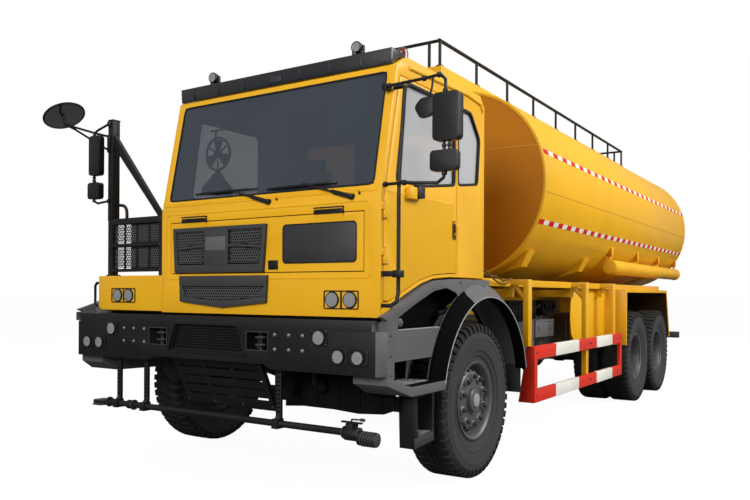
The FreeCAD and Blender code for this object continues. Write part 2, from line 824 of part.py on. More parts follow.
DOOR_HINGE = (S.door_front + 4, S.cab_left + 12)
DOOR_HINGE_HEIGHTS = (1850, 2180)
LID_HINGE = (S.cab_front + 15, S.lid_high + 14)
LID_HINGE_PLACES = ((-327, -47), (1110, 1371))


def door_outline(gap=0):
    """The door's outline, anticlockwise from its rear lower corner, smaller all round by gap.

    The lower front corner stands back further, as the door's inner edge swings out over the sill there.
    """
    rise = S.door_low - 1800
    return [
        (S.door_back + gap, S.door_low + gap),
        (485, S.door_low + gap),
        (778, 1780 + gap + rise),
        (986, 1737 + gap + rise),
        (1221, 1653 + gap * 1.4 + rise),
        (1440, 1568 + gap * 1.8 + rise),
        (S.door_front - gap, 1568 + gap * 1.8 + rise),
        (S.door_front - gap, S.cab_crease),
        (S.door_front - S.door_lean - gap, S.door_top - gap),
        (S.door_back + gap, S.door_top - gap),
    ]


def window_outline():
    """The door's window: its lower edge is level in front and rises behind."""
    front = S.door_front - 169
    return [
        (S.door_back + 34, S.belt + 70),
        (900, S.belt),
        (front, S.belt - 15),
        (front - 118, S.window_top - 72),
        (front - 168, S.window_top),
        (S.door_back + 34, S.window_top),
    ]


def quarter_outline():
    """The fixed window behind the door."""
    return [
        (S.cab_back + 134, S.belt + 132),
        (S.door_back - 26, S.belt + 78),
        (S.door_back - 26, S.window_top),
        (S.cab_back + 275, S.window_top),
        (S.cab_back + 92, S.window_top - 205),
    ]


def cab():
    """Hollow cab: shell with its window and door openings, glass, door, front lid and their fittings."""
    outer = profile("XZ", cab_outline(), S.cab_right, S.cab_left)
    inner = profile("XZ", cab_outline(S.cab_wall), S.cab_right + S.cab_wall, S.cab_left - S.cab_wall)
    y_low, y_high = S.cab_right + S.screen_edge, S.cab_left - S.screen_edge
    screen = box((S.cab_front - 420, S.cab_front + 10), (y_low, y_high), (S.screen_low, S.screen_high))
    doorway = profile("XZ", door_outline(), S.cab_left - S.cab_wall - 5, S.cab_left + 5)
    side_right = profile(
        "XZ",
        [(300, S.belt), (1250, S.belt), (1140, S.window_top), (300, S.window_top)],
        S.cab_right - 5,
        S.cab_right + S.cab_wall + 5,
    )
    quarter = profile("XZ", quarter_outline(), S.cab_left - S.cab_wall - 5, S.cab_left + 5)
    rear = [
        box((S.cab_back - 5, S.cab_back + S.cab_wall + 5), pair, (S.belt + 60, S.window_top - 60))
        for pair in ((S.cab_right + 250, S.cab_right + 900), (S.cab_left - 900, S.cab_left - 250))
    ]
    lidway = box(
        (S.cab_front - S.lid_wall - 4, S.cab_front + 1),
        (S.lid_right, S.lid_left),
        (S.lid_low, S.lid_high),
    )
    shell = cut(outer, inner, screen, doorway, side_right, quarter, *rear, lidway)
    fixed_leaves = [
        joined(
            rod("z", (DOOR_HINGE[0], DOOR_HINGE[1], z + 60 + S.running_gap), 50, 9),
            box((DOOR_HINGE[0], S.cab_front - 4), (S.cab_left - 1, S.cab_left + 14),
                (z + 60 + S.running_gap, z + 110)),
        )
        for z in DOOR_HINGE_HEIGHTS
    ]
    lid_leaves = [
        box((S.cab_front - 10, S.cab_front + 22), pair, (LID_HINGE[1] + 10 + S.running_gap, LID_HINGE[1] + 60))
        for pair in LID_HINGE_PLACES
    ]
    rain_line = [(1174, 3352), (603, 3366), (179, 3374), (-100, 3350), (-150, 3282)]
    rain_strip = bent([(x, S.cab_left + 2, z) for x, z in rain_line], 15)
    finished("cab_shell", joined(shell, rain_strip, *fixed_leaves, *lid_leaves))

    low_x, high_x = lean_at(S.screen_low), lean_at(S.screen_high)
    windscreen = profile(
        "XZ",
        [
            (low_x - 12, S.screen_low),
            (low_x - 12 + S.glass_wall, S.screen_low),
            (high_x - 12 + S.glass_wall, S.screen_high),
            (high_x - 12, S.screen_high),
        ],
        y_low,
        y_high,
    )
    panes = [windscreen]
    panes.append(profile(
        "XZ",
        [(300, S.belt), (1250, S.belt), (1140, S.window_top), (300, S.window_top)],
        S.cab_right + 20,
        S.cab_right + 20 + S.glass_wall,
    ))
    panes.append(profile("XZ", quarter_outline(), S.cab_left - 20 - S.glass_wall, S.cab_left - 20))
    panes += [
        box((S.cab_back + 20, S.cab_back + 20 + S.glass_wall), pair, (S.belt + 60, S.window_top - 60))
        for pair in ((S.cab_right + 250, S.cab_right + 900), (S.cab_left - 900, S.cab_left - 250))
    ]
    finished("cab_glass", group(*panes))

    gap = S.panel_gap
    panel = cut(
        profile("XZ", door_outline(gap), S.cab_left - S.cab_wall, S.cab_left),
        profile("XZ", window_outline(), S.cab_left - S.cab_wall - 5, S.cab_left + 5),
    )
    moving_leaves = [
        joined(
            rod("z", (DOOR_HINGE[0], DOOR_HINGE[1], z), 60, 9),
            box((DOOR_HINGE[0] - 60, DOOR_HINGE[0] - 14), (S.cab_left - 1, S.cab_left + 14), (z, z + 60)),
            box((DOOR_HINGE[0] - 15, DOOR_HINGE[0]), (S.cab_left + 1, S.cab_left + 14), (z, z + 60)),
        )
        for z in DOOR_HINGE_HEIGHTS
    ]
    crease = profile(
        "YZ",
        [(S.cab_left - 2, 2350), (S.cab_left + 7, 2386), (S.cab_left - 2, 2396)],
        S.door_back + 60,
        S.door_front - 60,
    )
    finished("left_door", joined(panel, crease, *moving_leaves))
    door_glass = profile("XZ", window_outline(), S.cab_left - 20 - S.glass_wall, S.cab_left - 20)
    finished("left_door_glass", door_glass)

    lid = box(
        (S.cab_front - S.lid_wall, S.cab_front),
        (S.lid_right + gap, S.lid_left - gap),
        (S.lid_low + gap, S.lid_high - gap),
    )
    knuckles = [
        joined(
            rod("y", (LID_HINGE[0], pair[0], LID_HINGE[1]), pair[1] - pair[0], 10),
            box((S.cab_front - 5, LID_HINGE[0] + 5), pair, (S.lid_high - 50, S.lid_high - gap - 1)),
            box((S.cab_front + S.running_gap, LID_HINGE[0] + 5), pair, (S.lid_high - 30, LID_HINGE[1])),
        )
        for pair in LID_HINGE_PLACES
    ]
    finished("front_lid", joined(lid, *knuckles))
    grille = profile(
        "YZ",
        [(-408, 1801), (604, 1801), (633, 2185), (-430, 2185)],
        S.cab_front + S.running_gap,
        S.cab_front + 30,
    )
    finished("lid_grille", grille)

    lower = profile(
        "YZ",
        [(-344, 1556), (146, 1510), (632, 1556), (646, 1775), (-352, 1775)],
        S.cab_front + S.running_gap,
        S.cab_front + 30,
    )
    bumper_grille = box(
        (S.bumper_front - 60, S.bumper_front - 40),
        (-S.bumper_grille_top / 2 + 1, S.bumper_grille_top / 2 - 1),
        (S.bumper_grille_low, S.bumper_grille_high),
    )
    finished("front_grilles", group(lower, bumper_grille))

    visor = profile(
        "XZ",
        [(1330, 3350), (1352, 3350), (1360, 3470), (1180, 3470), (1180, S.cab_roof + S.running_gap),
         (1230, S.cab_roof + S.running_gap), (1330, S.cab_roof - 60)][::-1],
        S.cab_right + 10,
        S.cab_left - 40,
    )
    finished("roof_visor", visor)


def lamps():
    """Lamps of the bumper, the cab, the deck box and the roof."""
    pieces = []
    front = S.bumper_front + S.running_gap
    for side in (1, -1):
        pieces.append(rod("x", (front, 1198 * side, 1300), 14, S.lamp_radius))
        for y in (1376, 1550):
            pieces.append(rod("x", (front, y * side, 1166), 14, S.twin_lamp_radius))
    cab_face = S.cab_front + S.running_gap
    for y, z in ((1272, 1585), (1434, 1585), (-1196, 1604), (-1042, 1604)):
        pieces.append(rod("x", (cab_face, y, z), 14, S.lamp_radius))
    for y in (-245, 1300):
        pieces.append(
            joined(
                rod("x", (1240, y, S.roof_lamp_height), 62, S.roof_lamp_radius),
                box((1255, 1275), (y - 8, y + 8), (S.roof_lamp_height - 75, S.roof_lamp_height - 25)),
            )
        )
    pieces.append(rod("z", (1090, 1590, S.cab_roof + S.running_gap), 130, 46))
    finished("lamps", group(*pieces))


def cab_inside():
    """Dashboard, steering wheel and seats, seen through the glass."""
    x, z, low = S.cab_front - S.cab_wall, S.hand_wheel_height, S.dash_low
    dash = profile(
        "XZ",
        [(x - 480, low), (x, low), (x, S.cab_crease), (x - 15, 2380), (x - 300, 2380), (x - 480, 2250)],
        S.cab_right + S.cab_wall + S.running_gap,
        S.cab_left - S.cab_wall - 40,
    )
    column = rod("x", (x - 640, 0, z), 240, 30)
    finished("dashboard", joined(dash, column))
    ring = spun([(-15, 220), (-8, 207), (8, 207), (15, 220), (8, 233), (-8, 233)], (x - 680, 0, z))
    wheel = joined(
        ring,
        rod("x", (x - 700, 0, z), 60 - S.running_gap, 50),
        box((x - 686, x - 674), (-220, 220), (z - 16, z + 16)),
    )
    finished("steering_wheel", wheel)
    seats = []
    low, half = S.seat_low, S.seat_width / 2
    for y in (Size.of(0), S.seat_pitch):
        back = [(180, low), (330, low), (250, low + 840), (130, low + 840)]
        seats.append(
            joined(
                box((280, S.seat_depth + 280), (y - half, y + half), (low, low + 160)),
                profile("XZ", back, y - half + 10, y + half - 10),
                box((330, 720), (y - 180, y + 180), (S.cab_floor + S.cab_wall, low)),
            )
        )
    finished("seats", group(*seats))


def deck_box():
    """Box beside the cab with the guard frame, mast and mirrors on it."""
    right, top = S.deck_right, S.deck_top
    over_wing = [
        (S.cab_back, S.wing_top),
        *WING_LINE[:0:-1],
        (S.cab_front, 1483),
        (S.cab_front, top),
        (S.cab_back, top),
    ]
    beside_wing = [
        (S.cab_back, S.wing_top),
        (469, S.wing_top),
        (1200, 1600),
        (S.cab_front - 130, S.cab_low + 7),
        (S.cab_front, S.cab_low + 7),
        (S.cab_front, top),
        (S.cab_back, top),
    ]
    body = joined(
        profile("XZ", over_wing, right, -WING_INSIDE),
        profile("XZ", beside_wing, -WING_INSIDE, S.cab_right - S.panel_gap),
    )
    finished("deck_box", body)

    column = (-1361, -1296)
    beside = S.cab_right - S.panel_gap
    frame = cut(
        box((1480, 1550), (column[0], beside), (top, S.mast_frame_top)),
        box((1475, 1555), (column[1], -660), (1850, 2050)),
        box((1475, 1555), (column[1], -660), (2084, 2262)),
        box((1475, 1555), (column[1], -660), (top - 1, 1822)),
    )
    brace = profile("YZ", [(-1300, 2995), (-672, 2300), (beside, 2300), (-1300, 3120)], 1490, 1540)
    mast = joined(
        box((1470, 1550), column, (top, S.mast_top)),
        frame,
        box((1508, 1518), (column[1] - 5, -655), (1840, 2270)),
        brace,
        bent(
            [(1500, -1300, 2452), (1500, -1190, 2445), (1500, -1152, 2400), (1500, -1152, 2310)],
            S.grab_radius,
        ),
    )
    finished("mirror_mast", mast)


def mirrors():
    """Left mirrors on their arms and the right mirrors on the mast."""
    x, tube = S.mirror_plane, S.mirror_tube
    upper_arm = [(x, 1655, 3150), (x, 2010, 3162), (x, 2120, 3170), (x, 2158, 3130), (x, 2160, 3000)]
    lower_arm = [
        (1535, S.cab_left, 2419),
        (1535, 1900, 2419),
        (x, 2098, 2413),
        (x, 2148, 2445),
        (x, 2155, 2520),
    ]
    left = joined(
        profile("YZ", rounded((2074, 2280), (2700, 3035), 34), x - 35, x + 35),
        profile("YZ", rounded((2052, 2262), (2490, 2636), 30), x - 30, x + 30),
        bent(upper_arm, tube),
        bent(lower_arm, tube),
        strut((x, 2150, 2600), (x, 2150, 2720), tube),
        strut((x, 2192, 2600), (x, 2192, 2720), tube),
    )
    foot = profile(
        "XZ",
        [(lean_at(3130), 3130), (x + 14, 3130), (x + 14, 3172), (lean_at(3172), 3172)],
        S.cab_left - 60,
        S.cab_left - 20,
    )
    y, plane, tube = -1553, S.right_mirror_plane, S.mast_tube
    on_mast = (-1350, -1320)
    rod_path = [
        (plane, -1340, 3213),
        (plane, -1500, 3172),
        (plane, y, 3150),
        (plane, y, 2500),
        (plane, -1500, 2476),
        (plane, -1340, 2488),
    ]
    right = joined(
        profile("YZ", rounded((-1574, -1420), (2738, 3112), 30), plane - 12, plane + 48),
        profile("YZ", rounded((-1590, -1425), (2515, 2670), 30), plane - 12, plane + 48),
        bent(rod_path, tube),
        box((plane - 12, plane + 12), on_mast, (3190, 3232)),
        box((plane - 12, plane + 12), on_mast, (2470, 2505)),
    )
    reach, height = S.round_mirror, S.round_mirror_height
    middle = (S.bumper_front + S.mirror_ahead - reach, -2105)
    dome = DOC.addObject("Part::Cone", "dome")
    bind(dome, "Radius1", reach)
    bind(dome, "Radius2", reach - 85)
    bind(dome, "Height", 62)
    place(dome, (*middle, height), FreeCAD.Rotation(FreeCAD.Vector(1, 0, 0), 30))
    elbow = (middle[0], -2098, height - 84)
    round_mirror = joined(
        dome,
        strut((*middle, height - 35), (*middle, height + 25), 20),
        bent([(*middle, height - 30), elbow, (1530, -1900, 3232), (plane, -1346, 2968)], tube),
        bent([elbow, (plane, -1534, 3146), (plane, -1346, 3097)], tube),
        box((plane - 12, plane + 12), on_mast, (2945, 3110)),
    )
    finished("mirrors", group(joined(left, foot), joined(right, round_mirror)))


def grab_bars():
    """Grab bar along the front of the door and the handle on the deck box."""
    y = S.grab_y
    path = [
        (1545, S.cab_left, 1547),
        (1545, y - 40, 1547),
        (1530, y, 1575),
        (1505, y, 1640),
        (1505, y, S.cab_crease),
        (1499, y, 2495),
        (1478, y + 30, 3110),
        (1385, y - 24, 3150),
        (1385, S.cab_left, 3150),
    ]
    bar = joined(
        bent(path, S.grab_radius),
        box((1536, 1552), (S.cab_left, y + 8), (1755, 1795)),
        box((1496, 1552), (y - 10, y + 22), (1755, 1795)),
    )
    side, low, high = S.deck_right, 1502, 1720
    handle = bent(
        [
            (1535, side, low),
            (1535, side - 60, low),
            (1535, side - 84, low + 28),
            (1535, side - 84, high - 28),
            (1535, side - 60, high),
            (1535, side, high),
        ],
        S.mirror_tube,
    )
    finished("grab_bars", group(bar, handle))


# ------------------------------------------------------------------ front wings
WING_BACK = -210


def wings():
    """Front wings with their flared arches, steps and hollows, mirrored to the other side."""
    x, z = -S.arch_back, S.arch_middle
    side = S.bumper_front - S.bumper_chamfer_depth
    arch = S.arch_radius
    foot_back = x - 966
    panel = profile(
        "XZ",
        [
            (foot_back, 925),
            (x - arch, 905),
            (800, 870),
            (1361, 880),
            (side, 968),
            (side, S.bumper_top),
            *WING_LINE,
            (WING_BACK, S.wing_top),
            (WING_BACK, 1700, S.arch_foot),
        ],
        WING_INSIDE,
        HALF,
    )
    beside_cab = box((S.cab_front - 135, side + 100), (WING_INSIDE - 5, S.cab_left + 8), (S.cab_low - 22, 1700))
    flare = turned(
        [(HALF - 10, arch), (HALF + S.arch_flare, arch), (HALF + S.arch_flare, arch + 16),
         (HALF - 2, S.arch_foot), (HALF - 10, S.arch_foot)],
        (x, 0, z),
    )
    below_lip = box((-1200, 1200), (HALF - 302, HALF + S.arch_flare + 5), (-300, 905))
    hollow = profile(
        "XZ",
        [(737, 1365), (1404, 1365), (1384, 1462), (1113, 1566), (844, 1656), (634, 1682), (467, 1645),
         (424, 1611, -S.arch_foot)],
        HALF - 260,
        HALF + 5,
    )
    step_well = profile(
        "XZ",
        [(905, 952), (1200, 952), (1445, 1000), (1445, 1133), (884, 1136)],
        HALF - 260,
        HALF + 5,
    )
    nosing = cut(
        profile(
            "XZ",
            [(800, 880), (1361, 880), (side, 968), (side, 1006), (1361, 952), (800, 952)],
            HALF - 8,
            HALF + S.arch_flare,
        ),
        profile(
            "XY",
            [(1361, HALF + S.arch_flare), (side - 5, HALF), (side + 60, HALF), (side + 60, HALF + 200),
             (1361, HALF + 200)],
            800,
            1100,
        ),
    )
    opening = rod("y", (x, WING_INSIDE - 50, z), 500, arch)
    wing = cut(
        joined(cut(panel, hollow, step_well, beside_cab), cut(flare, below_lip), nosing),
        opening,
    )
    finished("front_left_wing", wing)
    finished("front_right_wing", mirrored(wing))
    step = cut(
        profile("XZ", [(815, 462), (1130, 440), (1150, 876), (815, 870)], 1606, 1740),
        profile("XZ", [(850, 532), (1072, 520), (1085, 838), (850, 838)], 1600, 1745),
    )
    finished("front_steps", step)


# ------------------------------------------------------------------ tank
def tank_section():
    """Eight tangent arcs: top, corners and sides, from the three radii of the section."""
    half_w, half_h = S.tank_half_width.value, S.tank_half_height.value
    top, side, corner = S.tank_top_radius.value, S.tank_side_radius.value, S.tank_corner_radius.value
    top_mid, side_mid = (0.0, half_h - top), (half_w - side, 0.0)
    reach_top, reach_side = top - corner, side - corner
    gap = math.hypot(side_mid[0], top_mid[1])
    along = (gap * gap + reach_top * reach_top - reach_side * reach_side) / (2 * gap)
    across = math.sqrt(reach_top * reach_top - along * along)
    ux, uy = (side_mid[0] - top_mid[0]) / gap, (side_mid[1] - top_mid[1]) / gap
    centre = (top_mid[0] + along * ux + across * uy, top_mid[1] + along * uy - across * ux)
    return top_mid, side_mid, centre


MANHOLE_X = -5000
MANHOLE_HINGE = (MANHOLE_X - 310, S.walkway_top + 55)
TUBE_Y, TUBE_Z = 1575, 2035
TUBE_BRACKETS = (-4800, -6300, -7800, -9240)


def tank():
    """The tank on its saddles with the walkway, the hand rail and the manhole."""
    body = Part.Face(tank_wire(0)).extrude(FreeCAD.Vector(S.tank_back.value - S.tank_front.value, 0, 0))
    feature = DOC.addObject("Part::Feature", "shell")
    feature.Shape = body
    place(feature, (-S.tank_back, 0, S.tank_middle))
    walkway = box(
        (-S.tank_back, RAIL_FIRST + 25),
        (-S.walkway_half, S.walkway_half),
        (S.tank_middle + S.tank_half_height - 200, S.walkway_top),
    )
    neck = rod("z", (MANHOLE_X, 0, S.walkway_top - 60), 100, 270)
    ears = [
        box((MANHOLE_HINGE[0] - 16, MANHOLE_HINGE[0] + 16), pair, (S.walkway_top - 5, MANHOLE_HINGE[1] + 16))
        for pair in ((70 + S.running_gap, 88), (-88, -70 - S.running_gap))
    ]
    pads = [
        box((x - 40, x + 40), (low, high), (TUBE_Z + 150, TUBE_Z + 280))
        for x in TUBE_BRACKETS
        for low, high in ((TUBE_Y - 35, TUBE_Y + 35), (-TUBE_Y - 35, 35 - TUBE_Y))
    ]
    finished("tank", joined(feature, walkway, neck, *ears, *pads))

    x_first = RAIL_FIRST
    x_last = RAIL_FIRST - RAIL_PITCH * (RAIL_POSTS - 1)
    y, tube = S.walkway_half - 30, S.rail_post / 2
    posts = []
    for side in (1, -1):
        for i in range(RAIL_POSTS):
            x = x_first - RAIL_PITCH * i
            posts.append(strut((x, y * side, S.walkway_top), (x, y * side, S.rail_top), tube.value - 3))
        posts.append(
            strut((x_last - tube, y * side, S.rail_top), (x_first + tube, y * side, S.rail_top), tube.value)
        )
    for x in (x_first, x_last):
        posts.append(strut((x, -y, S.rail_top), (x, y, S.rail_top), tube.value - 2))
        posts.append(strut((x, y - 139, S.walkway_top), (x, y - 139, S.rail_top), tube.value - 3))
    finished("hand_rail", joined(*posts))

    seat = S.walkway_top + 40 + S.running_gap
    lid = joined(
        rod("z", (MANHOLE_X, 0, seat), 30, 290),
        box((MANHOLE_HINGE[0] + 4, MANHOLE_X - 200), (-60, 60), (seat, seat + 34)),
        rod("y", (MANHOLE_HINGE[0], -70, MANHOLE_HINGE[1]), 140, 12),
    )
    finished("manhole_lid", lid)
    tubes = []
    for side in (1, -1):
        y = TUBE_Y * side
        tubes.append(
            joined(
                rod("x", (TUBE_BRACKETS[-1] - 60, y, TUBE_Z), TUBE_BRACKETS[0] - TUBE_BRACKETS[-1] + 120, 105),
                *[box((x - 25, x + 25), (y - 20, y + 20), (TUBE_Z + 80, TUBE_Z + 150)) for x in TUBE_BRACKETS],
            )
        )
    finished("spray_tubes", group(*tubes))


def tank_wire(grow):
    """The tank's section as one wire of eight tangent arcs in the plane across the vehicle."""
    top_mid, side_mid, centre = tank_section()
    top, side = S.tank_top_radius.value + grow, S.tank_side_radius.value + grow
    corner = S.tank_corner_radius.value + grow

    def point(mid, radius, angle):
        return FreeCAD.Vector(0, mid[0] + radius * math.cos(angle), mid[1] + radius * math.sin(angle))

    def heading(a, b):
        return math.atan2(b[1] - a[1], b[0] - a[0])

    upper = heading(top_mid, centre)
    lower = heading(side_mid, centre)
    arcs = []
    for fy, fz in ((1, 1), (-1, 1), (-1, -1), (1, -1)):
        def at(mid, radius, angle, fy=fy, fz=fz):
            p = point(mid, radius, angle)
            return FreeCAD.Vector(0, p.y * fy, p.z * fz)
        arcs.append(Part.Arc(at(side_mid, side, 0), at(side_mid, side, lower / 2), at(side_mid, side, lower)))
        arcs.append(Part.Arc(at(centre, corner, lower), at(centre, corner, (lower + upper) / 2),
                             at(centre, corner, upper)))
        arcs.append(Part.Arc(at(top_mid, top, upper), at(top_mid, top, (upper + math.pi / 2) / 2),
                             at(top_mid, top, math.pi / 2)))
    return Part.Wire(Part.__sortEdges__([a.toShape() for a in arcs]))


BEAM_INSIDE = 1440
GUARD_POSTS = (-1330, -3300, -4545)
SADDLES = (-1930, -3965, -6000, -8035)


def subframe():
    """Bearers and saddles under the tank, the side beams with their arms, the guards and rear mudguards."""
    bearers = [
        box((-S.tank_back + 250, -S.tank_front - 250), pair, (RAIL_TOP + S.running_gap, 1660))
        for pair in ((RAIL_OUT - 100, RAIL_OUT), (-RAIL_OUT, -RAIL_OUT + 100))
    ]
    finished("tank_subframe", group(*bearers))

    hull = DOC.addObject("Part::Feature", "saddle_seat")
    hull.Shape = Part.Face(tank_wire(S.running_gap.value)).extrude(
        FreeCAD.Vector(S.tank_back.value - S.tank_front.value, 0, 0))
    place(hull, (-S.tank_back, 0, S.tank_middle))
    saddles = [
        profile("YZ", [(-1400, 1945), (-420, 1660), (420, 1660), (1400, 1945), (1500, 2130), (-1500, 2130)],
                x - 90, x + 90)
        for x in SADDLES
    ]
    finished("tank_saddles", cut(group(*saddles), hull))

    beam_top = S.beam_low + S.beam_side
    out = BEAM_INSIDE + S.beam_side

    def side_beam():
        """The left side beam with its cross arms and the braced posts that carry the guard."""
        cross = [
            joined(
                box((x - 40, x + 40), (RAIL_OUT, out), (1600, S.beam_low - 25)),
                box((x - 40, x + 40), (BEAM_INSIDE, out), (S.beam_low - 30, S.beam_low)),
            )
            for x in (*GUARD_POSTS, -8180)
        ]
        feet = (S.guard_high, S.guard_low + S.guard_rail / 2, S.guard_high - S.guard_rail)
        posts = [
            joined(
                box((x - 50, x + 50), (HALF - 100, HALF - 40), (foot, beam_top)),
                box((x - 50, x + 50), (out - 1, HALF - 60), (beam_top - 60, beam_top)),
                strut((x, HALF - 62, 1540), (x, out - 10, beam_top - 20), 26),
            )
            for x, foot in zip(GUARD_POSTS, feet)
        ]
        beam = box((-8250, -560), (BEAM_INSIDE, out), (S.beam_low, beam_top))
        return joined(beam, *cross, *posts)

    finished("side_beams", group(side_beam(), mirrored(side_beam())))

    frame = cut(
        box((-S.guard_back, -S.guard_front), (HALF - 40, HALF), (S.guard_low, S.guard_high)),
        box((-S.guard_back + 100, -S.guard_front - 90), (HALF - 45, HALF + 5),
            (S.guard_low + S.guard_rail, S.guard_high - S.guard_rail)),
    )
    cheek = profile(
        "YZ",
        [(HALF - 180, S.guard_low), (HALF - 10, S.guard_low), (HALF - 10, S.guard_high), (HALF - 90, S.guard_high)],
        -S.guard_front - 8,
        -S.guard_front,
    )
    guard = joined(frame, cheek)
    finished("side_guards", group(guard, mirrored(guard)))

    front, back, low = -5010, -8014, 900
    outline = [(back, low), (front, low), (front, S.beam_low), (back + 255, S.beam_low)]
    inner = [(back + 50, low - 5), (front - 50, low - 5), (front - 50, 1670), (back + 290, 1670)]
    hood = cut(
        profile("XZ", outline, 760, HALF),
        profile("XZ", inner, 755, HALF + 5),
    )
    finished("rear_mudguards", group(hood, mirrored(hood)))
    hangers = [
        box((-S.frame_back - 50, -S.frame_back), pair, (840, RAIL_TOP))
        for pair in ((RAIL_OUT - S.rail_width, RAIL_OUT), (-RAIL_OUT, S.rail_width - RAIL_OUT))
    ]
    bar = box((-S.frame_back - 120, -S.frame_back - 10), (-1700, 1700), (815, 930))
    finished("rear_bumper", joined(bar, *hangers))


ladder_frame()
wheels()
axles()
engine()
side_tanks()
bumper()
cab()
lamps()
cab_inside()
deck_box()
mirrors()
grab_bars()
wings()
tank()
subframe()

DOC.recompute()
for thing in DOC.Objects:
    if {"Invalid", "Error"} & set(thing.State):
        raise RuntimeError(f"{thing.Name} ({thing.Label}) failed: {thing.State}")
os.makedirs("parts", exist_ok=True)
for piece in FINISHED:
    if piece.Shape.isNull() or not piece.Shape.isValid():
        raise RuntimeError(f"{piece.Label} has no valid shape")
for piece in FINISHED:
    piece.Shape.exportStep(f"parts/{piece.Label}.step")
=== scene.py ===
"""Looks of an off-highway water tanker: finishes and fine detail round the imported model.

Lengths in this file are millimetres measured from the front axle, as the vehicle is drawn: x forward,
y to the vehicle's left, z up from the ground. `Frame.place` turns them into metres in the model's own frame.
"""

from __future__ import annotations

import json
import logging
import math
import sys
from dataclasses import dataclass
from enum import Enum
from typing import Callable, Iterable, Sequence

import bmesh
import bpy
from mathutils import Matrix, Vector

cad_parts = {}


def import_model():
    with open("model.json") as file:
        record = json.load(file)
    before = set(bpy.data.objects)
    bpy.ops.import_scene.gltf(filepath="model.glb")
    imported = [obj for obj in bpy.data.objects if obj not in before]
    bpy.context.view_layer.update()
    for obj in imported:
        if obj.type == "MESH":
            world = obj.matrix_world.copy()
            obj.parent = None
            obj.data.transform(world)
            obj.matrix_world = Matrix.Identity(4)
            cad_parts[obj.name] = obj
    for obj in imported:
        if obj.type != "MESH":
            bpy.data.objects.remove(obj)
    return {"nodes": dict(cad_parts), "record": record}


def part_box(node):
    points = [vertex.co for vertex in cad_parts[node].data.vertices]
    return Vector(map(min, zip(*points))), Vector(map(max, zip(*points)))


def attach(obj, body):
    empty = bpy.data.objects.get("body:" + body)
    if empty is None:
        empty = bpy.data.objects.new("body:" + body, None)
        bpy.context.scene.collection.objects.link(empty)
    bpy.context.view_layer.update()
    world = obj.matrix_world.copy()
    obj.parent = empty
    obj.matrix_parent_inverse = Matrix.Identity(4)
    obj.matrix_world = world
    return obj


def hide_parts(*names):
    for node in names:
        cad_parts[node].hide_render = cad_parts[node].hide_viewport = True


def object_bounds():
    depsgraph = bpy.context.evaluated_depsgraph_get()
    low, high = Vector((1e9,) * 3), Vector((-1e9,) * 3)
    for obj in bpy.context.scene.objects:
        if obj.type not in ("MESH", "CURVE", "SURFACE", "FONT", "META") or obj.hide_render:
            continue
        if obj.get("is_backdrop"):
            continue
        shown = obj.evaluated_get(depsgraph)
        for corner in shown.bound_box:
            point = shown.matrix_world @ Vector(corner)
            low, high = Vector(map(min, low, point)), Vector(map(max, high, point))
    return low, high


LOG = logging.getLogger("water_tanker")
MM = 0.001
# edges that turn by more than this are rounded; past the flat angle a shaded edge stays sharp
ROUND_OVER_DEG = 28.0
FLAT_DEG = 32.0
SKIN_FLAT_DEG = 30.0
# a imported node's triangles are joined and flattened before its edges are rounded
MERGE_M = 2e-5
COPLANAR_DEG = 0.6
# shorter lengths count as none
TINY = 1e-6
# the most of a run that the round of a corner, or the bend of a tube, may take
CORNER_SHARE = 0.45
BEND_SHARE = 0.48
Point = Sequence[float]
Outline = list[tuple[float, float]]
Plane = "str | Callable[[float, float, float], Point]"
TreeEnds = tuple[bpy.types.NodeTree, bpy.types.Node, bpy.types.Node]
Feed = "bpy.types.NodeSocket | float | Sequence[float]"
Finish = "Surface | Pane"


class Side(Enum):
    """The vehicle's two sides, as the sign of y."""

    LEFT = 1
    RIGHT = -1

    @property
    def word(self) -> str:
        """The side's name as the nodes spell it."""
        return self.name.lower()


# ---------------------------------------------------------------- frame and places
class Frame:
    """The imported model: its nodes by name, and the place of the front axle in it."""

    def __init__(self) -> None:
        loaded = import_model()
        self.nodes: dict[str, bpy.types.Object] = loaded["nodes"]
        self.slots: dict[str, str] = {s["node"]: s["material_slot"] for s in loaded["record"]["subparts"]}
        self.cad_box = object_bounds()
        low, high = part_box("front_left_tyre")
        self.axle_x: float = (low.x + high.x) / 2
        self.wheel_z: float = (low.z + high.z) / 2 / MM

    def place(self, x: float, y: float, z: float) -> Vector:
        """A point in millimetres from the front axle, as metres in the model's frame."""
        return Vector((self.axle_x + x * MM, y * MM, z * MM))

    def span(self, node: str) -> tuple[Vector, Vector]:
        """A node's low and high corners in millimetres from the front axle."""
        shift = Vector((self.axle_x, 0, 0))
        low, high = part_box(node)
        return (Vector(low) - shift) / MM, (Vector(high) - shift) / MM

    def dress(self, finish: Finish, *names: str) -> None:
        """Gives CAD nodes a finish, on every material slot that they have.

        Args:
            finish: the finish.
            names: the nodes.
        """
        for name in names:
            mesh = self.nodes[name].data
            if not mesh.materials:
                mesh.materials.append(finish.material())
            for index in range(len(mesh.materials)):
                mesh.materials[index] = finish.material()


# ---------------------------------------------------------------- outlines
def round_rect(u: Point, v: Point, radius: float, steps: int = 4) -> Outline:
    """A rectangle's outline with round corners.

    Args:
        u: low and high along the first axis.
        v: low and high along the second axis.
        radius: the corner radius.
        steps: straight runs in each corner.

    Returns:
        The outline, anticlockwise.
    """
    points: Outline = []
    for cu, cv, start in ((u[1], v[0], -90), (u[1], v[1], 0), (u[0], v[1], 90), (u[0], v[0], 180)):
        mu = cu - radius if cu == u[1] else cu + radius
        mv = cv - radius if cv == v[1] else cv + radius
        for i in range(steps + 1):
            angle = math.radians(start + 90 * i / steps)
            points.append((mu + radius * math.cos(angle), mv + radius * math.sin(angle)))
    return points


def curved(start: Vector, corner: Vector, end: Vector, t: float) -> Vector:
    """A point on the curve that rounds a corner, from its start at 0 to its end at 1."""
    return start * (1 - t) ** 2 + corner * (2 * t * (1 - t)) + end * t**2


